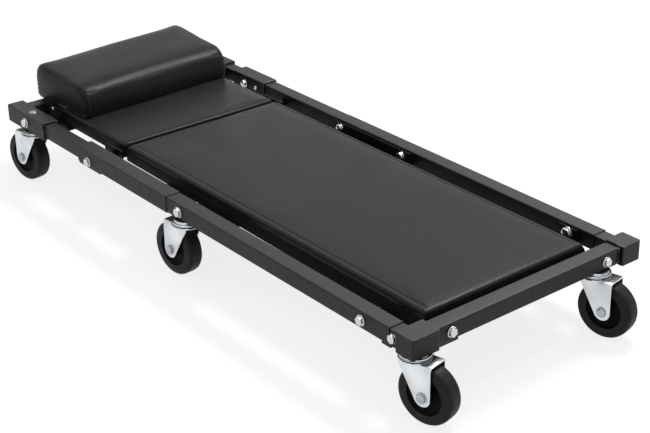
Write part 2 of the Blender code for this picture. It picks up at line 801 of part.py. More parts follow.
# Straps that carry the boards
strap_edge = fit_gap + strap_sheet / 2
near_tab = (-corner_face, head_bolt_x, head_strap_width)
far_tab = (corner_face, head_bolt_x, head_strap_width)
near_edge = strap_edge - corner_face
head_strap = strap("head_strap", head_bolt_x, head_strap_width, strap_top, near_tab, far_tab, near_edge)
near_tab = (-rail_face, centre_x, centre_tab_width)
far_tab = (rail_face, centre_plate_x, centre_plate_width)
near_edge = fit_gap - (rail_y - sleeve_size / 2)
plate_width = centre_plate_width
centre_plate = strap("centre_plate", centre_plate_x, plate_width, strap_top, near_tab, far_tab, near_edge)
near_tab = (-rail_face, foot_strap_x, foot_strap_width)
far_tab = (rail_face, foot_strap_x, foot_strap_width)
near_edge = strap_edge - rail_face
foot_strap = strap("foot_strap", foot_strap_x, foot_strap_width, strap_top, near_tab, far_tab, near_edge)

# Boards, pads and the tilting head section
board_half = board_width / 2
low = (main_pad_x + board_margin, -board_half, board_under)
add("main_board", box(low, (main_pad_end - board_margin, board_half, board_top)), plywood, creeper)
pad("main_pad", main_pad_x, main_pad_end, creeper)
head_tray()
low = (head_pad_x + board_margin, -board_half, board_under)
add("head_board", box(low, (pad_break_x - board_margin, board_half, board_top)), plywood, head_section)
pad("head_pad", head_pad_x, pad_break_x, head_section)
pillow()
head_pivot("head_pivot_near", -1, sleeve_size, [near_sleeve, near_inner])
head_pivot("head_pivot_far", 1, far_mid_size, [far_mid, far_inner])

# Bolts from the outer sides of the rails
corner_out = rail_y + corner_size / 2
rail_out = frame_width / 2
corner_grip = corner_size + fit_gap + strap_sheet
rail_grip = rail_size + fit_gap + strap_sheet
inwards = (0, 1, 0)
outwards = (0, -1, 0)
seat = (head_bolt_x, -corner_out, rail_z)
bolt("head_bolt_near", seat, inwards, corner_grip, [head_corner_near, near_inner, head_strap], nut=True)
seat = (head_bolt_x, corner_out, rail_z)
bolt("head_bolt_far", seat, outwards, corner_grip, [head_corner_far, far_inner, head_strap], nut=True)
seat = (centre_x, -rail_out, rail_z)
bolt("centre_bolt_near", seat, inwards, rail_grip, [near_rail, near_inner, centre_plate], nut=True)
seat = (foot_strap_x, -rail_out, rail_z)
bolt("foot_strap_bolt_near", seat, inwards, rail_grip, [near_rail, foot_corner_near, foot_strap], nut=True)
seat = (foot_block_x - near_stub_length / 2, -rail_y - inner_tube_size / 2, rail_z)
bolt("foot_stub_bolt", seat, inwards, bolt_grip, [foot_corner_near], washer=stub_washer_radius)

# Bolts from the far rail's inner side
tab_y = rail_face - fit_gap - strap_sheet
tab_grip = strap_sheet + bolt_grip
seat = (centre_plate_x - centre_bolt_spacing / 2, tab_y, rail_z)
bolt("centre_bolt_far_head", seat, inwards, tab_grip, [centre_plate, far_rail, far_inner])
seat = (centre_plate_x + centre_bolt_spacing / 2, tab_y, rail_z)
bolt("centre_bolt_far_foot", seat, inwards, tab_grip, [centre_plate, far_rail])
seat = (foot_strap_x, tab_y, rail_z)
bolt("foot_strap_bolt_far", seat, inwards, tab_grip, [foot_strap, far_rail, foot_corner_far])
seat = (sleeve_bolt_x, corner_face, rail_z)
bolt("sleeve_bolt_far", seat, inwards, bolt_grip, [far_sleeve, far_inner])
seat = (sleeve_bolt_x + sleeve_screw_spacing, corner_face, rail_z)
screw("sleeve_screw_far", seat, inwards, bolt_grip, [far_sleeve, far_inner])

# Bolts on the foot cross tube
cross_front = foot_cross_x + rail_size / 2
seat = (cross_front, near_block_in + near_cross_bolt_inset, rail_z)
bolt("foot_cross_bolt_near", seat, (-1, 0, 0), bolt_grip, [foot_cross, foot_corner_near])
seat = (cross_front, foot_cross_far - far_cross_bolt_inset, rail_z)
bolt("foot_cross_bolt_far", seat, (-1, 0, 0), bolt_grip, [foot_cross, foot_corner_far])

# Casters
near_foot_y = near_block_out + near_foot_caster_inset
far_foot_y = foot_cross_far - far_foot_caster_inset
caster("foot_near", foot_cross_x, near_foot_y, foot_caster_turn, corner_under, [foot_corner_near])
caster("foot_far", foot_cross_x, far_foot_y, foot_caster_turn, rail_under, [foot_cross, foot_corner_far])
caster("mid_near", centre_x, -rail_y, mid_caster_turn, rail_under, [near_rail, near_inner])
caster("mid_far", centre_x, rail_y, mid_caster_turn, rail_under, [far_rail, far_inner])
caster("head_near", head_bolt_x, -rail_y, head_caster_turn, corner_under, [head_corner_near, near_inner])
caster("head_far", head_bolt_x, rail_y, head_caster_turn, corner_under, [head_corner_far, far_inner])

centre_origin()
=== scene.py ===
import json
import math
import random

import bmesh
import bpy
from mathutils import Matrix, Vector, noise


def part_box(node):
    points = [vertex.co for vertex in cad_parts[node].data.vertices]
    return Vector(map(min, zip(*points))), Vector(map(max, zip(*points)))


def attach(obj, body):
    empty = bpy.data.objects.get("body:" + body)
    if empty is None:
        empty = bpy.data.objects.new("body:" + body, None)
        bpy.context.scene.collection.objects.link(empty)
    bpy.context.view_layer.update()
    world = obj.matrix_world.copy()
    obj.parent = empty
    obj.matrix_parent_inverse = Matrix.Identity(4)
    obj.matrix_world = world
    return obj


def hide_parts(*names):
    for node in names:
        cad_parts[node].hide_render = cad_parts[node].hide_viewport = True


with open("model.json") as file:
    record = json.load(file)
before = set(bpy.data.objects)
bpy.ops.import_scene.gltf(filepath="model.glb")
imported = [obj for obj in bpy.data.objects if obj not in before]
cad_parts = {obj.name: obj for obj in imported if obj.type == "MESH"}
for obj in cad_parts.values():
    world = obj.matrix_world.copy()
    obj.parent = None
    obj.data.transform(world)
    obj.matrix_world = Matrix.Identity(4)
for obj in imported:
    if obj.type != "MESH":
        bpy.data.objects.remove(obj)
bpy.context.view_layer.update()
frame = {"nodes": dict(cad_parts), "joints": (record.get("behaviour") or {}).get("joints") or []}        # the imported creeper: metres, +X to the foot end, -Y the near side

scene = bpy.context.scene
rng = random.Random(7)
joints = {joint["name"]: joint for joint in frame["joints"]}
places = ["foot_near", "foot_far", "mid_near", "mid_far", "head_near", "head_far"]
sameSpot = 0.0001        # places nearer than this count as one
standing = 0.002         # an edge that climbs more than this stands upright
solidMerge = 0.00001     # doubles in a copied solid
seamMerge = 0.000002     # doubles in a shape modelled here
print("frame loaded:", len(frame["nodes"]), "nodes")


# picking and editing

def clearPick():
    if bpy.context.mode != "OBJECT":
        bpy.ops.object.mode_set(mode="OBJECT")
    bpy.ops.object.select_all(action="DESELECT")


def pick(piece):
    clearPick()
    piece.select_set(True)
    bpy.context.view_layer.objects.active = piece


def editPick(piece, kind, test):   # edit mode, with the verts, edges or faces that pass the test picked
    pick(piece)
    bpy.ops.object.mode_set(mode="EDIT")
    bpy.ops.mesh.select_mode(type=kind)
    bpy.ops.mesh.select_all(action="DESELECT")
    shape = bmesh.from_edit_mesh(piece.data)
    parts = {"VERT": shape.verts, "EDGE": shape.edges, "FACE": shape.faces}[kind]
    for part in parts:
        if test(part):
            part.select_set(True)
    shape.select_flush_mode()
    bmesh.update_edit_mesh(piece.data)


def editAll(piece):
    editPick(piece, "VERT", lambda vert: True)


def closeEdit():
    bpy.ops.object.mode_set(mode="OBJECT")


def applyAll(piece):
    pick(piece)
    for modifier in list(piece.modifiers):
        bpy.ops.object.modifier_apply(modifier=modifier.name)


def shadeRound(piece, degrees):
    pick(piece)
    bpy.ops.object.shade_smooth_by_angle(angle=math.radians(degrees))


def tidyMesh(piece):   # doubles merged, then faces turned outwards
    editAll(piece)
    bpy.ops.mesh.remove_doubles(threshold=seamMerge)
    bpy.ops.mesh.normals_make_consistent(inside=False)
    closeEdit()


def sharpEdge(edge, degrees):
    return len(edge.link_faces) == 2 and edge.calc_face_angle() > math.radians(degrees)


def stands(edge):
    return abs(edge.verts[0].co.z - edge.verts[1].co.z) > standing


def liesAt(edge, axis, value):   # both ends of the edge have that X, Y or Z
    return all(abs(vert.co[axis] - value) < sameSpot for vert in edge.verts)


def bevelEdges(piece, test, width, segments):
    editPick(piece, "EDGE", test)
    bpy.ops.mesh.bevel(offset=width, segments=segments, affect="EDGES", clamp_overlap=True)
    closeEdit()


def addWall(piece, thickness):   # a sheet gets its thickness inwards
    wall = piece.modifiers.new("wall", "SOLIDIFY")
    wall.thickness = thickness
    wall.offset = -1
    applyAll(piece)


def ramp(value, start, span):   # 0 up to the start, then a straight climb to 1
    return min(1.0, max(0.0, (value - start) / span))


def clamp(value, low, high):
    return max(min(value, high), low)


def hump(value, centre, width):
    return math.exp(-((value - centre) / width) ** 2)


# starting shapes and copies

def cubeAt(name, low, high):
    clearPick()
    low, high = Vector(low), Vector(high)
    bpy.ops.mesh.primitive_cube_add(size=1, location=(low + high) / 2)
    piece = bpy.context.object
    piece.name = name
    piece.scale = high - low
    bpy.ops.object.transform_apply(location=True, rotation=True, scale=True)
    return piece


def rodAt(name, radius, low, high, sides):   # a round or hexagonal bar along Z
    clearPick()
    middle = (0, 0, (low + high) / 2)
    bpy.ops.mesh.primitive_cylinder_add(vertices=sides, radius=radius, depth=high - low, location=middle)
    piece = bpy.context.object
    piece.name = name
    bpy.ops.object.transform_apply(location=True, rotation=True, scale=True)
    return piece


def meshPiece(name, points, edges, faces):
    mesh = bpy.data.meshes.new(name)
    mesh.from_pydata(points, edges, faces)
    piece = bpy.data.objects.new(name, mesh)
    scene.collection.objects.link(piece)
    return piece


def spinShape(name, profile, steps, ring=False):   # a (radius, height) profile spun about Z
    lines = [(i, i + 1) for i in range(len(profile) - 1)]
    if ring:
        lines.append((len(profile) - 1, 0))
    piece = meshPiece(name, [(radius, 0, height) for radius, height in profile], lines, [])
    editAll(piece)
    bpy.ops.mesh.spin(steps=steps, angle=2 * math.pi, center=(0, 0, 0), axis=(0, 0, 1))
    closeEdit()
    tidyMesh(piece)
    return piece


def outline(corner, steps):   # profile points given as steps out and up from a corner
    return [(corner[0] + out, corner[1] + up) for out, up in steps]


def solidCopy(node, name):   # a loose copy of a solid
    piece = frame["nodes"][node].copy()
    piece.data = piece.data.copy()
    for key in list(piece.keys()):
        del piece[key]
    piece.parent = None
    piece.name = name
    scene.collection.objects.link(piece)
    return piece


def joinAll(pieces, name):
    pick(pieces[0])
    for piece in pieces:
        piece.select_set(True)
    bpy.ops.object.join()
    pieces[0].name = name
    return pieces[0]


def copyPiece(piece, name, matrix):
    twin = piece.copy()
    twin.data = piece.data.copy()
    twin.data.transform(matrix)
    twin.name = name
    scene.collection.objects.link(twin)
    return twin


def camel(node):
    words = node.split("_")
    return words[0] + "".join(word.capitalize() for word in words[1:])


def dress(piece, body, slotName, look, *nodes):
    if look:
        piece.data.materials.clear()
        piece.data.materials.append(look)
    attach(piece, body)
    if nodes:
        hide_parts(*nodes)


# node groups

def addNode(tree, kind, sockets, **settings):
    node = tree.nodes.new(kind)
    for key, value in settings.items():
        setattr(node, key, value)
    for key, value in sockets.items():
        if isinstance(value, bpy.types.NodeSocket):
            tree.links.new(value, node.inputs[key])
        else:
            node.inputs[key].default_value = value
    return node


def newGroup(name, inputs, outputs):
    group = bpy.data.node_groups.new(name, "ShaderNodeTree")
    for label, value in inputs.items():
        socket = group.interface.new_socket(label, in_out="INPUT", socket_type="NodeSocketFloat")
        socket.default_value = value
    for label in outputs:
        group.interface.new_socket(label, in_out="OUTPUT", socket_type="NodeSocketFloat")
    start = group.nodes.new("NodeGroupInput")
    end = group.nodes.new("NodeGroupOutput")
    return group, start, end


def calc(tree, operation, *values):
    return addNode(tree, "ShaderNodeMath", dict(enumerate(values)), operation=operation).outputs[0]


def objectPlace(tree):
    return addNode(tree, "ShaderNodeTexCoord", {}).outputs["Object"]


def cloudAt(tree, place, scale, detail, **more):
    return addNode(tree, "ShaderNodeTexNoise", {"Vector": place, "Scale": scale, "Detail": detail, **more})


def remap(tree, value, low, high, toLow=0.0, toHigh=1.0):
    sockets = {"Value": value, "From Min": low, "From Max": high, "To Min": toLow, "To Max": toHigh}
    return addNode(tree, "ShaderNodeMapRange", sockets).outputs[0]


def spread(tree, value, low, high):   # the middle of a noise, stretched over a range
    return remap(tree, value, 0.3, 0.7, low, high)


def coatPeelGroup():   # fine grains of baked powder over a slow unevenness
    group, start, end = newGroup("coatPeel", {"Scale": 900.0}, ["Height", "Tone"])
    place = objectPlace(group)
    scale = start.outputs["Scale"]
    fine = cloudAt(group, place, scale, 2.0).outputs["Fac"]
    slow = cloudAt(group, place, calc(group, "MULTIPLY", scale, 0.13), 4.0).outputs["Fac"]
    grains = calc(group, "MULTIPLY", fine, 0.65)
    group.links.new(calc(group, "MULTIPLY_ADD", slow, 0.35, grains), end.inputs["Height"])
    group.links.new(slow, end.inputs["Tone"])
    return group


def shopWearGroup():   # broken patches where dust or rubbing shows
    group, start, end = newGroup("shopWear", {"Scale": 30.0, "Least": 0.55, "Most": 0.75}, ["Mask"])
    patch = cloudAt(group, objectPlace(group), start.outputs["Scale"], 6.0, Roughness=0.65)
    mask = remap(group, patch.outputs["Fac"], start.outputs["Least"], start.outputs["Most"])
    group.links.new(mask, end.inputs["Mask"])
    return group


def hideGrainGroup():   # pebbled vinyl: small cells with valleys between them
    group, start, end = newGroup("hideGrain", {"Scale": 600.0}, ["Height", "Tone"])
    place = objectPlace(group)
    stir = cloudAt(group, place, 260.0, 2.0)
    shove = addNode(group, "ShaderNodeVectorMath", {0: stir.outputs["Color"], "Scale": 0.0022},
                    operation="SCALE")
    bent = addNode(group, "ShaderNodeVectorMath", {0: place, 1: shove.outputs[0]}, operation="ADD")
    pebbles = {"Vector": bent.outputs[0], "Scale": start.outputs["Scale"]}
    cells = addNode(group, "ShaderNodeTexVoronoi", pebbles, feature="SMOOTH_F1")
    valley = remap(group, cells.outputs["Distance"], 0.15, 0.75, 1.0, 0.0)
    group.links.new(valley, end.inputs["Height"])
    group.links.new(cloudAt(group, place, 14.0, 3.0).outputs["Fac"], end.inputs["Tone"])
    return group


def upFacingMaskGroup():   # faces that look up, as a mask; the looks use it for settled dust with painted light from above, and for painted shade on zinc
    group, start, end = newGroup("upFacingMask", {"Scale": 8.0}, ["Mask"])
    place = addNode(group, "ShaderNodeTexCoord", {})
    facing = addNode(group, "ShaderNodeSeparateXYZ", {0: place.outputs["Normal"]})
    up = remap(group, facing.outputs["Z"], 0.55, 0.97)
    cloud = cloudAt(group, place.outputs["Object"], start.outputs["Scale"], 3.0)
    uneven = spread(group, cloud.outputs["Fac"], 0.8, 1.0)
    group.links.new(calc(group, "MULTIPLY", up, uneven), end.inputs["Mask"])
    return group


groups = {"peel": coatPeelGroup(), "wear": shopWearGroup(), "grain": hideGrainGroup(), "film": upFacingMaskGroup()}


# materials

def grey(level, blue=0.0):
    return (level, level, level + blue)


def newLook(name, metallic, specular):
    look = bpy.data.materials.new(name)
    look.use_nodes = True
    tree = look.node_tree
    shader = tree.nodes["Principled BSDF"]
    shader.inputs["Metallic"].default_value = metallic
    shader.inputs["Specular IOR Level"].default_value = specular
    return look, tree, shader


def useGroup(tree, key, **values):
    node = tree.nodes.new("ShaderNodeGroup")
    node.node_tree = groups[key]
    for label, value in values.items():
        node.inputs[label].default_value = value
    return node


def mixColour(tree, factor, first, second):   # each colour is a tuple or another node's socket
    pair = [(*colour, 1) if isinstance(colour, tuple) else colour for colour in (first, second)]
    return addNode(tree, "ShaderNodeMix", {0: factor, 6: pair[0], 7: pair[1]}, data_type="RGBA").outputs[2]


def paint(tree, shader, colour, rough):
    tree.links.new(colour, shader.inputs["Base Color"])
    tree.links.new(rough, shader.inputs["Roughness"])


def bumpTo(tree, shader, height, strength, distance):
    bump = addNode(tree, "ShaderNodeBump", {"Height": height, "Strength": strength, "Distance": distance})
    tree.links.new(bump.outputs["Normal"], shader.inputs["Normal"])


def powderLook(name, dark, light, worn, wornFrom, dust, specular):   # satin black coat, rubbed in patches, and lighter where it looks up: settled dust with painted light from above
    look, tree, shader = newLook(name, 0.0, specular)
    peel = useGroup(tree, "peel", Scale=1100.0)
    film = useGroup(tree, "film", Scale=9.0)
    wear = useGroup(tree, "wear", Scale=45.0, Least=wornFrom, Most=wornFrom + 0.2)
    coat = mixColour(tree, peel.outputs["Tone"], dark, light)
    withDustAndTopLight = mixColour(tree, film.outputs["Mask"], coat, dust)
    rubbed = mixColour(tree, wear.outputs["Mask"], withDustAndTopLight, worn)
    paint(tree, shader, rubbed, spread(tree, peel.outputs["Tone"], 0.40, 0.54))
    bumpTo(tree, shader, peel.outputs["Height"], 0.35, 0.0004)
    return look


def zincLook():   # bright zinc plate: bluish, faintly clouded, with painted shade where it looks up
    look, tree, shader = newLook("zincPlate", 1.0, 0.5)
    cloud = cloudAt(tree, objectPlace(tree), 34.0, 1.0).outputs["Fac"]
    film = useGroup(tree, "film", Scale=16.0)
    plate = mixColour(tree, spread(tree, cloud, 0.0, 1.0), (0.57, 0.60, 0.62), (0.78, 0.80, 0.82))
    shadedUp = mixColour(tree, film.outputs["Mask"], plate, (0.25, 0.265, 0.275))
    paint(tree, shader, shadedUp, spread(tree, cloud, 0.22, 0.28))
    return look


def boltLook(name, dark, light, rough):   # plated fasteners, darker and glossier than the pressed plate
    look, tree, shader = newLook(name, 1.0, 0.5)
    tone = useGroup(tree, "peel", Scale=420.0).outputs["Tone"]
    paint(tree, shader, mixColour(tree, tone, dark, light), spread(tree, tone, rough, rough + 0.08))
    return look


def vinylLook(name, dark, light, dust, grainScale, rough, specular):   # pebbled cover, lighter where it looks up: settled dust with painted light from above
    look, tree, shader = newLook(name, 0.0, specular)
    grain = useGroup(tree, "grain", Scale=grainScale)
    film = useGroup(tree, "film", Scale=6.0)
    skin = mixColour(tree, grain.outputs["Tone"], dark, light)
    withDustAndTopLight = mixColour(tree, film.outputs["Mask"], skin, dust)
    paint(tree, shader, withDustAndTopLight, spread(tree, grain.outputs["Tone"], rough - 0.04, rough + 0.06))
    shader.inputs["Sheen Weight"].default_value = 0.05
    shader.inputs["Sheen Roughness"].default_value = 0.5
    bumpTo(tree, shader, grain.outputs["Height"], 0.30, 0.0004)
    return look


def threadLook():   # twisted black thread
    look, tree, shader = newLook("stitchThread", 0.0, 0.3)
    strands = {"Vector": objectPlace(tree), "Scale": 420.0, "Distortion": 1.0}
    twist = addNode(tree, "ShaderNodeTexWave", strands, bands_direction="DIAGONAL").outputs["Fac"]
    tree.links.new(mixColour(tree, twist, grey(0.014), grey(0.045, 0.001)), shader.inputs["Base Color"])
    shader.inputs["Roughness"].default_value = 0.6
    bumpTo(tree, shader, twist, 0.4, 0.0002)
    return look


def wheelLook(name, dark, light, dusty, specular):   # hard moulded tyre with a little shop dust
    look, tree, shader = newLook(name, 0.0, specular)
    peel = useGroup(tree, "peel", Scale=700.0)
    wear = useGroup(tree, "wear", Scale=55.0, Least=0.52, Most=0.8)
    body = mixColour(tree, peel.outputs["Tone"], dark, light)
    withDustAndTopLight = mixColour(tree, wear.outputs["Mask"], body, dusty)
    paint(tree, shader, withDustAndTopLight, spread(tree, peel.outputs["Tone"], 0.44, 0.60))
    bumpTo(tree, shader, peel.outputs["Height"], 0.15, 0.0004)
    return look


def plyLook():   # birch ply: long face grain, thin layers at the edges
    look, tree, shader = newLook("plywood", 0.0, 0.4)
    long = addNode(tree, "ShaderNodeMapping", {"Vector": objectPlace(tree), "Scale": (4.0, 70.0, 600.0)})
    grain = cloudAt(tree, long.outputs[0], 1.0, 6.0, Distortion=0.6).outputs["Fac"]
    wood = mixColour(tree, grain, (0.30, 0.19, 0.10), (0.56, 0.41, 0.25))
    paint(tree, shader, wood, spread(tree, grain, 0.6, 0.75))
    bumpTo(tree, shader, grain, 0.2, 0.0004)
    return look


# the lighter colour each powder and vinyl look lays on faces that look up is settled dust with painted light
# from above
looks = {
    "powder": powderLook("powderBlack", dark=grey(0.005), light=grey(0.009), worn=grey(0.020, 0.001),
                         wornFrom=0.66, dust=grey(0.013, 0.0005), specular=0.24),
    # the bevel strips are lighter all along as a painted highlight, with rubbed wear in patches
    "edge": powderLook("powderEdgeWearAndHighlight", dark=grey(0.026, 0.001), light=grey(0.065, 0.002), worn=grey(0.280),
                       wornFrom=0.50, dust=grey(0.013, 0.0005), specular=0.24),
    # painted shade: the coat made darker and duller where it lies under the pads or between parts
    "under": powderLook("powderPaintedShade", dark=grey(0.003), light=grey(0.005), worn=grey(0.009),
                        wornFrom=0.66, dust=grey(0.004), specular=0.09),
    "zinc": zincLook(),
    "vinyl": vinylLook("blackVinyl", dark=grey(0.003), light=grey(0.005), dust=grey(0.0065),
                       grainScale=720.0, rough=0.36, specular=0.10),
    "welt": vinylLook("weltVinyl", dark=grey(0.004), light=grey(0.006), dust=grey(0.007),
                      grainScale=900.0, rough=0.38, specular=0.12),
    # painted shade: the cover's tail in a darker, duller copy of the vinyl
    "hem": vinylLook("hemVinylPaintedShade", dark=grey(0.002), light=grey(0.003), dust=grey(0.003),
                     grainScale=720.0, rough=0.55, specular=0.05),
    "bolt": boltLook("boltZinc", dark=(0.50, 0.52, 0.54), light=(0.66, 0.68, 0.70), rough=0.20),
    "axle": boltLook("axleZinc", dark=(0.34, 0.36, 0.38), light=(0.50, 0.52, 0.54), rough=0.18),
    "thread": threadLook(),
    "wheel": wheelLook("wheelBlack", dark=grey(0.005), light=grey(0.009), dusty=grey(0.018, -0.001),
                       specular=0.16),
    # the tyre's own rubber, darker and duller in the dish: painted shade in the recess
    "dish": wheelLook("wheelDishPaintedShade", dark=grey(0.0012), light=grey(0.003), dusty=grey(0.006), specular=0.04),
    "ply": plyLook(),
}
print("materials made:", len(looks))


# steel frame: each tube, block and strap is a merged copy of its solid with rolled or filed edges

steel = {
    "tubes": ["near_inner_tube", "far_inner_tube", "near_rail_sleeve", "near_main_rail", "far_rail_sleeve",
              "far_mid_tube", "far_main_rail", "head_cross_tube", "foot_cross_tube"],
    "blocks": ["head_corner_near", "head_corner_far", "foot_corner_near", "foot_corner_far"],
    "sheets": ["head_strap", "centre_plate", "foot_strap", "head_tray"],
    "edge": {"tubes": 0.0006, "blocks": 0.0011, "sheets": 0.0005},
    # the straps and plates under the pads take the darker under look as painted shade
    "skin": {"tubes": "powder", "blocks": "powder", "sheets": "under"},
    "rim": {"tubes": "edge", "blocks": "edge", "sheets": "powder"},
    "segments": 3,
    "flat": 0.5,       # degrees: faces nearer than this to one plane become one face
    "sharp": 50,
    "smooth": 40,
    "facing": 0.99,
}


def filedCopy(node, group):
    piece = solidCopy(node, camel(node))
    piece.data.materials.clear()
    piece.data.materials.append(looks[steel["skin"][group]])
    piece.data.materials.append(looks[steel["rim"][group]])
    editAll(piece)
    bpy.ops.mesh.remove_doubles(threshold=solidMerge)
    bpy.ops.mesh.dissolve_limited(angle_limit=math.radians(steel["flat"]))
    closeEdit()
    bevel = piece.modifiers.new("filed", "BEVEL")
    bevel.width = steel["edge"][group]
    bevel.segments = steel["segments"]
    bevel.limit_method = "ANGLE"
    bevel.angle_limit = math.radians(steel["sharp"])
    bevel.material = 1
    applyAll(piece)
    shadeRound(piece, steel["smooth"])
    even = piece.modifiers.new("even", "WEIGHTED_NORMAL")
    even.keep_sharp = True
    applyAll(piece)
    return piece


def shadeInside(piece):   # painted shade: the sides that face the pads take the dark under look
    piece.data.materials.append(looks["under"])
    for face in piece.data.polygons:
        if face.normal.y * face.center.y < 0 and abs(face.normal.y) > steel["facing"]:
            face.material_index = 2


for group in ("tubes", "blocks", "sheets"):
    for node in steel[group]:
        piece = filedCopy(node, group)
        if group != "sheets":
            shadeInside(piece)
        body = "head_section" if node == "head_tray" else "frame"
        dress(piece, body, "powder_black", None, node)
    print("steel", group, "filed:", len(steel[group]))


# bolts: hexagon heads on washers, with nuts where the shank comes through

bolts = {
    "headRadius": 0.0066,
    "headHeight": 0.0048,
    "crownRise": 0.0009,
    "rimIn": 0.16,         # the head's chamfer and crown, as shares of its radius
    "rimUp": 0.10,
    "crownIn": 0.30,
    "crownUp": 0.05,
    "headSoft": 0.00035,
    "washerHeight": 0.0012,
    "washerSoft": 0.0003,
    "shankRadius": 0.0034,
    "shankTip": 0.0006,
    "nutHeight": 0.0045,
    "shoulderRadius": 0.0065,
    "earSheet": 0.003,
    "gap": 0.0003,
    "lap": 0.0001,         # the bolt's own parts run this far into each other
    "shadeFrom": 0.008,
    "inwards": ["head_bolt_near", "centre_bolt_near", "foot_strap_bolt_near", "foot_stub_bolt",
                "head_pivot_near", "centre_bolt_far_head", "centre_bolt_far_foot", "foot_strap_bolt_far",
                "sleeve_bolt_far", "sleeve_screw_far"],
    "outwards": ["head_bolt_far", "head_pivot_far"],
    "headwards": ["foot_cross_bolt_near", "foot_cross_bolt_far"],
    "withNut": ["head_bolt_near", "head_bolt_far", "centre_bolt_near", "foot_strap_bolt_near"],
    "larger": {"foot_strap_bolt_far": 1.25, "centre_bolt_near": 1.08, "head_bolt_near": 1.08},
    "pivotTube": {"head_pivot_near": 0.027, "head_pivot_far": 0.0242},
    "screw": "sleeve_screw_far",
    "screwHead": 0.0036,
    "screwHeight": 0.0025,
    "screwShank": 0.0019,
}
directions = {"inwards": Vector((0, 1, 0)), "outwards": Vector((0, -1, 0)), "headwards": Vector((-1, 0, 0))}


def hexHead(name, radius, low, high, crownLow):   # a chamfered hexagon whose crown swells a little
    head = rodAt(name, radius, low, high, 6)
    crown = low if crownLow else high
    editPick(head, "FACE", lambda face: abs(face.calc_center_median().z - crown) < sameSpot)
    bpy.ops.mesh.inset(thickness=radius * bolts["rimIn"], depth=radius * bolts["rimUp"])
    bpy.ops.mesh.inset(thickness=radius * bolts["crownIn"], depth=radius * bolts["crownUp"])
    closeEdit()
    bevelEdges(head, lambda edge: sharpEdge(edge, 18), bolts["headSoft"], 2)
    return head


def washer(name, radius, low, high):
    piece = rodAt(name, radius, low, high, 40)
    bevelEdges(piece, lambda edge: sharpEdge(edge, 50), bolts["washerSoft"], 2)
    return piece


def shank(name, radius, low, high):
    piece = rodAt(name, radius, low, high, 20)
    middle = (low + high) / 2
    bevelEdges(piece, lambda edge: sharpEdge(edge, 50) and edge.verts[0].co.z > middle, bolts["shankTip"], 1)
    return piece


def roundHead(name, radius, height):   # a plain domed screw head
    steps = 6
    angles = [i / steps * math.pi / 2 for i in range(steps + 1)]
    profile = [(radius * math.sin(angle), height * (1 - math.cos(angle))) for angle in angles]
    profile.append((0, height))
    return spinShape(name, profile, 28)


def screwParts(length):
    height = bolts["screwHeight"]
    return [roundHead("screwHead", bolts["screwHead"], height),
            shank("screwShank", bolts["screwShank"], height - 2 * bolts["lap"], length)]


def boltParts(node, washerRadius, length):
    grow = bolts["larger"].get(node, 1)
    headEnd = bolts["headHeight"]
    washerEnd = headEnd + bolts["washerHeight"]
    parts = [hexHead("boltHead", bolts["headRadius"] * grow, bolts["crownRise"], headEnd, True),
             washer("boltWasher", washerRadius * grow, headEnd - bolts["lap"], washerEnd),
             shank("boltShank", bolts["shankRadius"], washerEnd - 2 * bolts["lap"], length)]
    if node in bolts["withNut"]:
        parts.append(hexHead("boltNut", bolts["headRadius"], length - bolts["nutHeight"],
                             length - bolts["crownRise"], False))
    if node in bolts["pivotTube"]:
        start = washerEnd + 2 * bolts["gap"] + bolts["pivotTube"][node]
        end = length - bolts["earSheet"] - 2 * bolts["gap"]
        parts.append(washer("pivotShoulder", bolts["shoulderRadius"], start, end))
    return parts


def boltPiece(node, direction):
    low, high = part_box(node)
    length = abs((high - low).dot(direction))
    top = (low + high) / 2 - direction * length / 2
    across = (high - low) - Vector([abs(v) for v in direction]) * length
    parts = screwParts(length) if node == bolts["screw"] else boltParts(node, max(across) / 2, length)
    piece = joinAll(parts, camel(node))
    turn = Vector((0, 0, 1)).rotation_difference(direction).to_matrix().to_4x4()
    spin = Matrix.Rotation(rng.uniform(0, math.pi / 3), 4, "Z")
    piece.data.transform(Matrix.Translation(top) @ turn @ spin)
    shadeRound(piece, 30)
    dress(piece, "frame", "zinc", looks["bolt"], node)
    if node in bolts["pivotTube"]:          # painted shade: the pin is drawn dark where it stands between rail and ear
        piece.data.materials.append(looks["under"])
        for face in piece.data.polygons:
            face.material_index = abs(face.center.y) < abs(top.y) - bolts["shadeFrom"]


for way, direction in directions.items():
    for node in bolts[way]:
        boltPiece(node, direction)
    print("bolts made,", way + ":", len(bolts[way]))


# casters: one of each piece about its own swivel, then copied to the six places

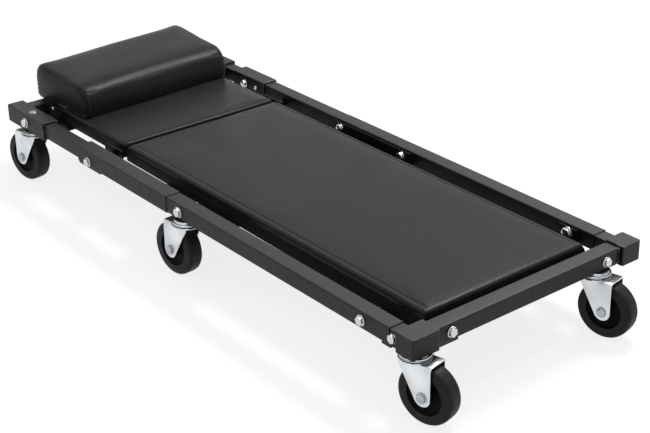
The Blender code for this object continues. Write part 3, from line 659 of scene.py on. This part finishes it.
caster = {
    "trail": 0.0215,
    "sheet": 0.0025,
    "legOuter": 0.01675,
    "legRadius": 0.0125,
    "legSteps": 18,
    "back": 0.016,
    "foldRadius": 0.004,
    "filed": 0.00045,
    "discRadius": 0.023,
    "discLip": 0.0008,
    # the crown's stamped ring: share of the disc's radius, rise above the fork's top
    "discRing": [(0, 0.0002), (0.55, 0.0002), (0.62, -0.0006), (0.82, -0.0006), (0.88, 0.0001)],
    "raceRadius": 0.0215,
    "raceLift": 0.0005,
    # the race's two cups with the groove between them, out from its rim and up from its lower face
    "raceCups": [(-0.0022, 0), (-0.0008, 0.0003), (0, 0.0011), (0, 0.0018), (-0.0011, 0.0021),
                 (-0.0011, 0.0025), (-0.0002, 0.0029), (-0.0006, 0.0038), (-0.0022, 0.0042)],
    "raceNeck": 0.018,
    "neckFillet": 0.0006,
    "pinRadius": 0.0085,
    "pinFlat": 0.7,        # share of the pin's radius
    "pinHead": 0.0020,
    "pinEdge": 0.0012,
    "stemRadius": 0.005,
    "axleRadius": 0.004,
    "axleHead": 0.0068,
    "axleHeadHeight": 0.0026,
    "axleWasher": 0.0009,
    "washerShare": 1.16,   # of the axle head's radius
    "gap": 0.0003,
    "lap": 0.0001,
    "steps": 72,
    # three stand under a bare rail, the rest under a corner block
    "under": {"foot_far": "foot_cross_tube", "mid_near": "near_main_rail", "mid_far": "far_main_rail"},
    "underRest": "head_corner_near",
}
axleZ = joints["spin_foot_near"]["pos_m"][2]
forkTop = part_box("caster_fork_foot_near")[1].z - caster["gap"]
onAxle = Matrix.Translation((caster["trail"], 0, axleZ)) @ Matrix.Rotation(math.pi / 2, 4, "X")


def forkSheet():   # the fork's folded sheet: two legs, each rounded about the axle, and the crown
    trail, radius, back = caster["trail"], caster["legRadius"], caster["back"]
    side, sheet, steps = caster["legOuter"], caster["sheet"], caster["legSteps"]
    low = forkTop - 2 * sheet
    away = Vector((-back - trail, low - axleZ))
    lean = math.atan2(away.y, away.x) + math.acos(radius / away.length)
    leg = [(-back, forkTop), (-back, low)]
    for i in range(steps + 1):
        angle = lean + (2 * math.pi - lean) * i / steps
        leg.append((trail + radius * math.cos(angle), axleZ + radius * math.sin(angle)))
    leg.append((trail + radius, forkTop))
    count = len(leg)
    points = [(x, -side, z) for x, z in leg] + [(x, side, z) for x, z in leg]
    faces = [list(range(count)), list(range(2 * count - 1, count - 1, -1)),
             [0, count - 1, 2 * count - 1, count]]
    fork = meshPiece("forkMaster", points, [], faces)
    tidyMesh(fork)
    bevelEdges(fork, lambda edge: len(edge.link_faces) == 2, caster["foldRadius"], 5)
    addWall(fork, sheet)
    tidyMesh(fork)
    bevelEdges(fork, lambda edge: sharpEdge(edge, 60), caster["filed"], 2)
    return fork


def forkMaster():
    fork = forkSheet()
    disc, lip, lap = caster["discRadius"], caster["discLip"], caster["lap"]
    under = forkTop - caster["sheet"]
    profile = [(disc * share, forkTop + rise) for share, rise in caster["discRing"]]
    profile += [(disc - lip, forkTop + lap), (disc, forkTop - lip), (disc, under + lip),
                (disc - lip, under - lap), (0, under - lap)]
    plate = spinShape("forkDisc", profile, caster["steps"])
    union = fork.modifiers.new("union", "BOOLEAN")
    union.operation = "UNION"
    union.object = plate
    applyAll(fork)
    bpy.data.objects.remove(plate)
    shadeRound(fork, 32)
    return fork


def raceMaster(mountUnder, stemTop):
    base = forkTop + caster["raceLift"]
    neck, pin, stem = caster["raceNeck"], caster["pinRadius"], caster["stemRadius"]
    fillet, gap = caster["neckFillet"], caster["gap"]
    under = forkTop - caster["sheet"] - gap
    pinLow = under - caster["pinHead"]
    cups = outline((caster["raceRadius"], base), caster["raceCups"])
    top = cups[-1][1]
    profile = [(0, pinLow), (pin * caster["pinFlat"], pinLow), (pin, under - caster["pinEdge"]), (pin, under),
               (stem, under), (stem, base)]
    profile += cups
    profile += [(neck + fillet, top), (neck, min(top + fillet, mountUnder - 2 * gap)),
                (neck, mountUnder - gap), (stem, mountUnder - gap), (stem, stemTop), (0, stemTop)]
    race = spinShape("raceMaster", profile, caster["steps"])
    shadeRound(race, 40)
    return race


def axleMaster():
    reach = caster["legOuter"] + caster["gap"]
    seat = reach + caster["axleWasher"]
    head, end = caster["axleHead"], seat + caster["axleHeadHeight"]
    wide, lap = head * caster["washerShare"], caster["lap"]
    parts = [rodAt("axleRod", caster["axleRadius"], -seat, seat, 24),
             washer("axleWasherLow", wide, -seat, -reach),
             washer("axleWasherHigh", wide, reach, seat),
             hexHead("axleHeadLow", head, -end, -seat + lap, True),
             hexHead("axleHeadHigh", head, seat - lap, end, False)]
    axle = joinAll(parts, "axleMaster")
    axle.data.transform(onAxle)
    shadeRound(axle, 30)
    return axle


# one face of the wheel from the bore outwards; the lists step out and up from the corner each one rounds
wheel = {
    "hub": 0.0090,
    "hubSide": 0.01395,
    "hubEdge": [(-0.0005, 0), (0, -0.0005)],
    "dish": 0.0262,
    "dishSide": 0.0088,
    "dishFoot": [(0.0006, 0.0006), (0.0012, 0)],
    "dishWall": [(-0.0020, 0), (-0.0010, 0.0006)],
    "dishLip": [(0, -0.0012), (0.0006, -0.0002), (0.0015, 0), (0.0028, -0.0004)],
    "dishShadeOver": 0.0003,    # how far the dish's painted shade runs over its lip
    "side": 0.01225,
    "shoulder": [(-0.0050, -0.0001), (-0.0034, -0.0003), (-0.0017, -0.0013), (-0.0006, -0.0028)],
    "tread": 0.0075,
    "treadFall": 0.00015,
}


def wheelMaster():
    hub, dish, tread = wheel["hub"], wheel["dish"], wheel["tread"]
    half = [(caster["axleRadius"] + caster["gap"], wheel["hubSide"])]
    half += outline((hub, wheel["hubSide"]), wheel["hubEdge"])
    half += outline((hub, wheel["dishSide"]), wheel["dishFoot"])
    half += outline((dish, wheel["dishSide"]), wheel["dishWall"])
    half += outline((dish, wheel["side"]), wheel["dishLip"])
    half += outline((axleZ, wheel["side"]), wheel["shoulder"])
    half += [(axleZ - wheel["treadFall"], tread), (axleZ, tread / 2)]
    profile = half + [(radius, -y) for radius, y in reversed(half)]
    piece = spinShape("wheelMaster", profile, caster["steps"], ring=True)
    piece.data.materials.append(looks["wheel"])
    piece.data.materials.append(looks["dish"])
    # painted shade: the dish's faces take the darker, duller look
    for face in piece.data.polygons:
        face.material_index = hub < face.center.xy.length < dish + wheel["dishShadeOver"]
    piece.data.transform(onAxle)
    shadeRound(piece, 35)
    return piece


masters = {"fork": forkMaster(), "axle": axleMaster(), "wheel": wheelMaster()}
races = {}
for place in places:
    pivot = Vector(joints["swivel_" + place]["pos_m"])
    hub = Vector(joints["spin_" + place]["pos_m"])
    turn = math.atan2(hub.y - pivot.y, hub.x - pivot.x)
    seat = Matrix.Translation((pivot.x, pivot.y, 0)) @ Matrix.Rotation(turn, 4, "Z")
    tag = camel("x_" + place)[1:]
    fork = copyPiece(masters["fork"], "casterFork" + tag, seat)
    dress(fork, "swivel_" + place, "zinc", looks["zinc"], "caster_fork_" + place)
    axle = copyPiece(masters["axle"], "casterAxle" + tag, seat)
    dress(axle, "swivel_" + place, "zinc", looks["axle"], "caster_axle_" + place)
    tyre = copyPiece(masters["wheel"], "casterWheel" + tag, seat)
    dress(tyre, "wheel_" + place, "wheel_black", None, "caster_wheel_" + place)
    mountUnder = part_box(caster["under"].get(place, caster["underRest"]))[0].z
    if mountUnder not in races:
        races[mountUnder] = raceMaster(mountUnder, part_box("caster_race_" + place)[1].z)
    race = copyPiece(races[mountUnder], "casterRace" + tag, seat)
    dress(race, "frame", "zinc", looks["zinc"], "caster_race_" + place)
for piece in list(masters.values()) + list(races.values()):
    bpy.data.objects.remove(piece)
print("casters placed:", len(places))


# cushions: a smaller shape is remeshed, blown up as cloth, then its seams are drawn

cushion = {"voxel": 0.0046, "pressure": 4.0, "frames": 20, "mass": 0.3, "stiffness": 15}


def blowUp(piece, cap, held):   # cloth under pressure; held says where the cover is tacked or sewn down
    remesh = piece.modifiers.new("even", "REMESH")
    remesh.mode = "VOXEL"
    remesh.voxel_size = cushion["voxel"]
    applyAll(piece)
    start = [vertex.co.copy() for vertex in piece.data.vertices]
    pins = piece.vertex_groups.new(name="held")
    for vertex in piece.data.vertices:
        pins.add([vertex.index], held(vertex.co), "REPLACE")
    cloth = piece.modifiers.new("cover", "CLOTH")
    cloth.settings.use_pressure = True
    cloth.settings.uniform_pressure_force = cushion["pressure"]
    cloth.settings.effector_weights.gravity = 0
    cloth.settings.mass = cushion["mass"]
    cloth.settings.tension_stiffness = cushion["stiffness"]
    cloth.settings.compression_stiffness = cushion["stiffness"]
    cloth.settings.vertex_group_mass = "held"
    cloth.collision_settings.use_collision = False
    cloth.point_cache.frame_start = 1
    cloth.point_cache.frame_end = cushion["frames"]
    for step in range(1, cushion["frames"] + 1):
        scene.frame_set(step)
    applyAll(piece)
    scene.frame_set(1)
    for vertex, old in zip(piece.data.vertices, start):
        move = vertex.co - old
        reach = move.length
        if reach > 0:
            vertex.co = old + move * (cap * math.tanh(reach / cap) / reach)
    piece.vertex_groups.clear()
    finer = piece.modifiers.new("finer", "SUBSURF")
    finer.levels = 1
    finer.render_levels = 1
    applyAll(piece)


pads = {
    # the main pad's tail flares out at its foot half: a dark sheet as painted shade in the gap to the rails
    "main": {"node": "main_pad", "board": "main_board", "body": "frame", "crease": 0.0014,
             "square": "head", "round": 0.0078, "corner": 0.0030, "flare": (0.0012, 0.0084),
             "wrapDown": 0.0024},
    "head": {"node": "head_pad", "board": "head_board", "body": "head_section", "crease": 0.0003,
             "square": "foot", "round": 0.0032, "corner": 0.0020, "flare": (0.0, 0.0), "wrapDown": 0.0},
    "underPillow": 0.0065,
    "shrink": 0.0007,      # the shape that is blown up starts smaller
    "shrinkTop": 0.0005,
    "squareRound": 0.0020,
    "tack": 0.0045,        # the cover is held up to this height
    "cap": 0.0008,
    "press": 0.0052,       # reach and fading of the pull over corners and the butted end
    "pressFade": 0.004,
    "pressIn": 0.004,
    "pressSpan": 0.006,
    "buttOut": 0.0006,
    "swingGap": 0.0007,
    "seamsFrom": 0.009,    # creases, rolls and ripples lie above this height
    "creaseIn": 0.0108,
    "creaseWidth": 0.0017,
    "creaseStart": 0.004,
    "creaseFade": 0.010,
    "rollIn": 0.0058,
    "rollWidth": 0.0035,
    "rollRise": 0.0004,
    "ripple": 0.00022,
    "ripples": (9, 14, 3.1),
    "mostUp": 0.0012,      # the finished pad stays this close to its solid
    "mostOut": 0.0010,
    "wrapOut": 0.0046,
    "wrapUp": 0.0060,
    "wrapSheet": 0.0007,
    "wrapCorner": 0.0025,
    "wrapFold": 0.0016,
    "hem": 0.022,
    "boardIn": 0.0006,
    "boardUp": 0.0009,
    "boardCorner": 0.006,
    "fill": 0.75,
}


def pressOut(one, other, pull):   # distances in from two faces, pushed towards the edge that the faces share
    across, along = 1 - one / pads["press"], 1 - other / pads["press"]
    most = max(across, along)
    if min(across, along) <= 0 or most >= 1:
        return one, other
    grow = 1 + pull * min(1.0, 2 * min(across, along)) * (1 / most - 1)
    return pads["press"] * (1 - across * grow), pads["press"] * (1 - along * grow)


def pullTight(piece, low, high, spec):   # the blown cover is drawn square over the corners and the butted end
    tilt = Vector(joints["head_tilt"]["pos_m"])
    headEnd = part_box(pads["head"]["node"])[1]
    swing = math.hypot(headEnd.x + pads["buttOut"] - tilt.x, headEnd.z - tilt.z) + pads["swingGap"]
    butt = spec["square"] == "foot"
    end = high.x + pads["buttOut"] if butt else low.x - pads["buttOut"]
    top = max(v.co.z for v in piece.data.vertices if 2 < abs(v.co.x - end) / pads["press"] < 4)
    shoulder = high.z - spec["round"]
    for vertex in piece.data.vertices:
        place = vertex.co
        fromX, fromY = place.x < (low.x + high.x) / 2, place.y < 0
        inX = place.x - low.x if fromX else high.x - place.x
        inY = place.y - low.y if fromY else high.y - place.y
        below = ramp(shoulder - place.z, -pads["pressFade"] / 2, pads["pressFade"])
        inX, inY = pressOut(inX, inY, below)
        place.x = low.x + inX if fromX else high.x - inX
        place.y = low.y + inY if fromY else high.y - inY
        middle = ramp(inY, pads["pressIn"], pads["pressSpan"])
        inEnd, inTop = pressOut(abs(place.x - end), top - place.z, middle)
        if abs(place.x - end) < pads["press"]:
            place.x = end - inEnd if butt else end + inEnd
            place.z = top - inTop
        rise = place.z - tilt.z
        if not butt and abs(rise) < swing:      # room for the head pad's edge as it swings past
            place.x = max(place.x, tilt.x + math.sqrt(swing ** 2 - rise ** 2))


def drawSeams(piece, low, high, crease):   # a crease and a roll along each side, and slow ripples
    for vertex in piece.data.vertices:
        place = vertex.co
        if place.z < low.z + pads["seamsFrom"]:
            continue
        edge = min(place.y - low.y, high.y - place.y)
        ends = min(place.x - low.x, high.x - place.x)
        groove = hump(edge, pads["creaseIn"], pads["creaseWidth"])
        groove *= ramp(ends, pads["creaseStart"], pads["creaseFade"])
        roll = hump(edge, pads["rollIn"], pads["rollWidth"])
        waveX, waveY, waveZ = pads["ripples"]
        wave = noise.noise(Vector((place.x * waveX, place.y * waveY, waveZ)))
        place.z += pads["rollRise"] * roll - crease * groove + pads["ripple"] * wave


def padPiece(name, spec):
    low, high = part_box(spec["node"])
    butt = spec["square"] == "foot"
    if butt:            # the head pad runs on a little under the pillow
        low.x -= pads["underPillow"]
    inset = Vector((pads["shrink"], pads["shrink"], 0))
    piece = cubeAt(name, low + inset, high - inset - Vector((0, 0, pads["shrinkTop"])))
    top = max(vertex.co.z for vertex in piece.data.vertices)
    end = (max if butt else min)(vertex.co.x for vertex in piece.data.vertices)

    def rim(edge, square):   # top edges: the end that butts against the other pad, or the rest
        return liesAt(edge, 2, top) and sharpEdge(edge, 57) and liesAt(edge, 0, end) == square

    bevelEdges(piece, lambda edge: stands(edge) and not liesAt(edge, 0, end), spec["corner"], 5)
    bevelEdges(piece, lambda edge: stands(edge) and liesAt(edge, 0, end), pads["squareRound"], 3)
    bevelEdges(piece, lambda edge: rim(edge, False), spec["round"], 7)
    bevelEdges(piece, lambda edge: rim(edge, True), pads["squareRound"], 4)
    blowUp(piece, pads["cap"], lambda place: 1.0 if place.z < low.z + pads["tack"] else 0.0)
    pullTight(piece, low, high, spec)
    drawSeams(piece, low, high, spec["crease"])
    for vertex in piece.data.vertices:
        place = vertex.co
        place.z = clamp(place.z, low.z, high.z + pads["mostUp"])
        place.x = clamp(place.x, low.x - pads["buttOut"], high.x + pads["buttOut"])
        place.y = clamp(place.y, low.y - pads["mostOut"], high.y + pads["mostOut"])
    shadeRound(piece, 80)
    dress(piece, spec["body"], "vinyl", looks["vinyl"], spec["node"])


def wrapPiece(name, spec):   # the cover's tail: down over the board's edge and tacked under it
    low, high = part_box(spec["board"])
    margin = Vector((pads["wrapOut"], pads["wrapOut"], 0))
    top = Vector((0, 0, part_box(spec["node"])[0].z + pads["wrapUp"] - high.z))
    piece = cubeAt(name, low - margin - Vector((0, 0, spec["wrapDown"])), high + margin + top)
    for vertex in piece.data.vertices:      # painted shade: the tail's lower edge stands out more towards the foot end, a dark sheet filling the gap to the rail where there is only shade
        if vertex.co.z < low.z + sameSpot:
            flare = spec["flare"][vertex.co.x > 0]
            vertex.co.y += flare if vertex.co.y > 0 else -flare
            if vertex.co.x > high.x:
                vertex.co.x += flare
    bevelEdges(piece, stands, pads["wrapCorner"], 3)
    bottom = min(vertex.co.z for vertex in piece.data.vertices)
    bevelEdges(piece, lambda edge: liesAt(edge, 2, bottom), pads["wrapFold"], 3)
    editPick(piece, "FACE", lambda face: face.normal.z > 0.9)
    bpy.ops.mesh.delete(type="FACE")
    closeEdit()
    editPick(piece, "FACE", lambda face: face.normal.z < -0.99)
    bpy.ops.mesh.inset(thickness=pads["hem"])
    bpy.ops.mesh.delete(type="FACE")
    closeEdit()
    tidyMesh(piece)
    addWall(piece, pads["wrapSheet"])
    shadeRound(piece, 40)
    # the tail takes the darker vinyl as painted shade
    dress(piece, spec["body"], "vinyl", looks["hem"])


def boardPiece(name, spec):
    low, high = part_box(spec["board"])
    inset = Vector((pads["boardIn"], pads["boardIn"], 0))
    piece = cubeAt(name, low + inset + Vector((0, 0, pads["boardUp"])), high - inset)
    bevelEdges(piece, stands, pads["boardCorner"], 5)
    shadeRound(piece, 40)
    dress(piece, spec["body"], "plywood", looks["ply"], spec["board"])


for key in ("main", "head"):
    padPiece(key + "Pad", pads[key])
    wrapPiece(key + "Wrap", pads[key])
    boardPiece(key + "Board", pads[key])
print("pads upholstered")


pillow = {
    "node": "pillow",
    "body": "head_section",
    "shrink": 0.0006,
    "cap": 0.0034,
    "tack": 0.004,         # the cover is held up to this height, and in part along the seams
    "seam": 0.1380,
    "seamHold": 0.85,
    "seamReach": 0.0030,
    "seamPull": 0.0017,
    "seamWidth": 0.0022,
    "liftStart": 0.003,
    "liftFade": 0.006,
    "ripple": 0.0007,
    "ripples": (16, 11, 16),
    "mostUp": 0.003,
    "stretch": 1.026,
    "sink": 0.0034,
    "askew": 2.4,
    "plump": 0.0050,
    "weltRadius": 0.0009,
    "weltStep": 0.004,
    "stitchLength": 0.0046,
    "stitchGap": 0.0030,
    "stitchRadius": 0.00070,
    "stitchInset": 0.0034,
    "stitchOut": 0.0001,
    "stitchFrom": 0.1275,  # height below which the pad hides the stitches
    "fill": 0.7,
}
pillowLow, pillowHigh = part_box(pillow["node"])
heart = (pillowLow + pillowHigh) / 2


def pillowPiece():
    low, high = pillowLow, pillowHigh
    piece = solidCopy(pillow["node"], "pillowCushion")
    editAll(piece)
    bpy.ops.mesh.remove_doubles(threshold=solidMerge)
    bpy.ops.transform.shrink_fatten(value=-pillow["shrink"])
    closeEdit()
    seam = pillow["seam"]
    floor = min(vertex.co.z for vertex in piece.data.vertices)

    def held(place):
        if place.z < floor + pillow["tack"]:
            return 1.0
        return pillow["seamHold"] if abs(abs(place.y) - seam) < pillow["seamReach"] else 0.0

    blowUp(piece, pillow["cap"], held)
    for vertex in piece.data.vertices:      # drawn in along the seams, with slow ripples
        place = vertex.co
        near = hump(abs(place.y), seam, pillow["seamWidth"])
        inward = Vector((heart.x - place.x, 0, heart.z - place.z)).normalized()
        lift = ramp(place.z - floor, pillow["liftStart"], pillow["liftFade"])
        wave = noise.noise(Vector([length * count for length, count in zip(place, pillow["ripples"])]))
        vertex.co = place + inward * lift * (pillow["seamPull"] * near + pillow["ripple"] * wave)
    for vertex in piece.data.vertices:      # its weight lets it settle into the pad and spread a little
        place = vertex.co
        place.z = clamp(place.z, low.z, high.z + pillow["mostUp"])
        up = (place.z - low.z) / (high.z - low.z)
        far = (place.y - low.y) / (high.y - low.y)
        rear = (high.x - place.x) / (high.x - low.x)
        place.z += pillow["plump"] * up * far * rear - pillow["sink"] * (1 - up)
        place.y *= pillow["stretch"]
    shadeRound(piece, 80)
    return piece


def loopAt(piece, y):   # the closed line where the plane at y cuts the piece, as points in order
    shape = bmesh.new()
    shape.from_mesh(piece.data)
    parts = shape.verts[:] + shape.edges[:] + shape.faces[:]
    cut = bmesh.ops.bisect_plane(shape, geom=parts, plane_co=(0, y, 0), plane_no=(0, 1, 0))["geom_cut"]
    edges = [part for part in cut if isinstance(part, bmesh.types.BMEdge)]
    points = []
    vert = edges[0].verts[0]
    left = set(edges)
    while left:
        step = next((edge for edge in vert.link_edges if edge in left), None)
        if step is None:
            break
        left.remove(step)
        vert = step.other_vert(vert)
        points.append(vert.co.copy())
    shape.free()
    return points


def evenLoop(points, gap):   # a closed line's points, set out again at an even gap
    shortest = 0.000001      # keeps two points on one spot from dividing by nothing
    lengths = [0.0]
    for one, other in zip(points, points[1:] + points[:1]):
        lengths.append(lengths[-1] + (other - one).length)
    count = max(3, round(lengths[-1] / gap))
    spaced = []
    spot = 0
    for i in range(count):
        want = lengths[-1] * i / count
        while lengths[spot + 1] < want:
            spot += 1
        share = (want - lengths[spot]) / max(lengths[spot + 1] - lengths[spot], shortest)
        spaced.append(points[spot].lerp(points[(spot + 1) % len(points)], share))
    return spaced


def weltRound(name, points):
    curve = bpy.data.curves.new(name, "CURVE")
    curve.dimensions = "3D"
    curve.bevel_depth = pillow["weltRadius"]
    curve.bevel_resolution = 3
    spline = curve.splines.new("POLY")
    spline.points.add(len(points) - 1)
    for point, place in zip(spline.points, points):
        point.co = (*place, 1)
    spline.use_cyclic_u = True
    piece = bpy.data.objects.new(name, curve)
    scene.collection.objects.link(piece)
    pick(piece)
    bpy.ops.object.convert(target="MESH")
    return bpy.context.object


def stitchRow(name, points):
    clearPick()
    bpy.ops.mesh.primitive_uv_sphere_add(segments=6, ring_count=5, radius=1)
    bead = bpy.context.object
    length, radius = pillow["stitchLength"], pillow["stitchRadius"]
    size = Matrix.Diagonal((length / 2, radius, radius, 1))
    rows = []
    spots = evenLoop(points, length + pillow["stitchGap"])
    for i, place in enumerate(spots):
        if place.z < pillow["stitchFrom"]:
            continue
        along = (spots[(i + 1) % len(spots)] - spots[i - 1]).normalized()
        turn = Vector((1, 0, 0)).rotation_difference(along).to_matrix().to_4x4()
        out = Vector((place.x - heart.x, 0, place.z - heart.z)).normalized() * pillow["stitchOut"]
        rows.append(copyPiece(bead, "stitch", Matrix.Translation(place + out) @ turn @ size))
    bpy.data.objects.remove(bead)
    return joinAll(rows, name)


cushionPiece = pillowPiece()
seam = pillow["seam"] * pillow["stretch"]
sewn = []
for tag, side in (("Near", -1), ("Far", 1)):
    ring = evenLoop(loopAt(cushionPiece, side * seam), pillow["weltStep"])
    sewn.append((weltRound("pillowWelt" + tag, ring), looks["welt"]))
    for mark, inset in (("Inner", pillow["stitchInset"]), ("Outer", -pillow["stitchInset"])):
        path = loopAt(cushionPiece, side * (seam - inset))
        sewn.append((stitchRow("pillowStitches" + tag + mark, path), looks["thread"]))
about = Matrix.Translation((heart.x, heart.y, 0))
askew = about @ Matrix.Rotation(math.radians(pillow["askew"]), 4, "Z") @ about.inverted()
cushionPiece.data.transform(askew)
dress(cushionPiece, pillow["body"], "vinyl", looks["vinyl"], pillow["node"])
for piece, look in sewn:
    shadeRound(piece, 80)
    piece.data.transform(askew)
    dress(piece, pillow["body"], "vinyl", look)
print("pillow sewn")


# the stem end riveted over the near head corner, and the screw in the near arm

rivets = {
    "radius": 0.0066,
    "height": 0.0012,
    "dome": [(0, 0.8), (0.5, 0.8), (0.6, 1), (0.85, 1), (1, 0.4)],   # shares of the radius and the height
    "sink": 0.0002,
    "screw": 0.0030,
    "screwHeight": 0.0016,
    "armIn": 0.0132,
    "armDown": 0.0062,
}
pivot = joints["swivel_head_near"]["pos_m"]
dome = [(rivets["radius"] * out, rivets["height"] * up) for out, up in rivets["dome"]]
dome += [(rivets["radius"], -rivets["sink"]), (0, -rivets["sink"])]
stemEnd = spinShape("stemEndHeadNear", dome, 32)
stemEnd.data.transform(Matrix.Translation((pivot[0], pivot[1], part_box("head_corner_near")[1].z)))
shadeRound(stemEnd, 40)
dress(stemEnd, "frame", "zinc", looks["zinc"])

trayLow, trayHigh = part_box("head_tray")
armHole = (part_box("head_pad")[0].x - rivets["armIn"], trayLow.y - rivets["screwHeight"],
           trayHigh.z - rivets["armDown"])
armScrew = roundHead("armScrew", rivets["screw"], rivets["screwHeight"])
armScrew.data.transform(Matrix.Translation(armHole) @ Matrix.Rotation(-math.pi / 2, 4, "X"))
shadeRound(armScrew, 40)
dress(armScrew, "head_section", "zinc", looks["bolt"])
print("stem end riveted, arm screw set")


# studio: pale floor, soft light, white behind

studio = {
    "floorSize": 40,
    "floorDrop": 0.0004,
    "floorGrey": 0.86,
    "floorWhite": 0.82,
    "skyLight": 0.60,
    "backLight": {"place": (-0.05, 0.95, 1.78), "target": (-0.39, 0, 0.17), "size": (0.7, 0.35),
                  "power": 46.0},
    "frontLight": {"place": (1.2, -2.0, 1.3), "target": (0, 0, 0.1), "size": (1.6, 1.0), "power": 3.0},
    "topLight": {"place": (0.0, 0.0, 2.4), "target": (0, 0, 0.1), "size": (1.8, 1.2), "power": 12.0},
}


def whiteRays(tree):   # 1 for rays that show as picture or mirror, 0 for rays that carry light
    path = tree.nodes.new("ShaderNodeLightPath")
    seen = calc(tree, "MAXIMUM", path.outputs["Is Camera Ray"], path.outputs["Is Glossy Ray"])
    return calc(tree, "MAXIMUM", seen, path.outputs["Is Transmission Ray"])


def bareTree(owner):
    owner.use_nodes = True
    owner.node_tree.nodes.clear()
    return owner.node_tree


def softLight(name, spec):
    data = bpy.data.lights.new(name, "AREA")
    data.shape = "RECTANGLE"
    data.size, data.size_y = spec["size"]
    data.energy = spec["power"]
    lamp = bpy.data.objects.new(name, data)
    lamp.location = spec["place"]
    lamp.rotation_euler = (Vector(spec["target"]) - Vector(spec["place"])).to_track_quat("-Z", "Y").to_euler()
    scene.collection.objects.link(lamp)


clearPick()
bpy.ops.mesh.primitive_plane_add(size=studio["floorSize"], location=(0, 0, -studio["floorDrop"]))
floor = bpy.context.object
floor.name = "studioFloor"
paper = bpy.data.materials.new("studioPaper")
tree = bareTree(paper)
white = (1, 1, 1, 1)
matt = addNode(tree, "ShaderNodeBsdfDiffuse", {"Color": (*grey(studio["floorGrey"]), 1)})
glow = addNode(tree, "ShaderNodeEmission", {"Color": white, "Strength": 1.0})
share = calc(tree, "MULTIPLY", whiteRays(tree), studio["floorWhite"])
mixed = addNode(tree, "ShaderNodeMixShader", {0: share, 1: matt.outputs[0], 2: glow.outputs[0]})
addNode(tree, "ShaderNodeOutputMaterial", {"Surface": mixed.outputs[0]})
floor.data.materials.append(paper)

scene.world = bpy.data.worlds.new("studioWorld")
tree = bareTree(scene.world)
dim = addNode(tree, "ShaderNodeBackground", {"Color": white, "Strength": studio["skyLight"]})
bright = addNode(tree, "ShaderNodeBackground", {"Color": white, "Strength": 1.0})
mixed = addNode(tree, "ShaderNodeMixShader", {0: whiteRays(tree), 1: dim.outputs[0], 2: bright.outputs[0]})
addNode(tree, "ShaderNodeOutputWorld", {"Surface": mixed.outputs[0]})
for name in ("backLight", "frontLight", "topLight"):
    softLight(name, studio[name])

view = {
    "place": (1.666579, -1.276008, 1.069979),
    "turn": 50.2247,
    "down": 25.5013,
    "roll": -0.3110,
    "lens": 84.16,
    "sensor": 36,
    "shift": (-0.0450, -0.02375),
}
camData = bpy.data.cameras.new("photoCamera")
camData.lens = view["lens"]
camData.sensor_width = view["sensor"]
camData.shift_x, camData.shift_y = view["shift"]
camData.dof.use_dof = False
camera = bpy.data.objects.new("photoCamera", camData)
camera.matrix_world = (Matrix.Translation(view["place"]) @ Matrix.Rotation(math.radians(view["turn"]), 4, "Z")
                       @ Matrix.Rotation(math.radians(90 - view["down"]), 4, "X")
                       @ Matrix.Rotation(math.radians(view["roll"]), 4, "Z"))
scene.collection.objects.link(camera)
scene.camera = camera
scene.view_settings.view_transform = "Standard"
clearPick()
print("studio set")
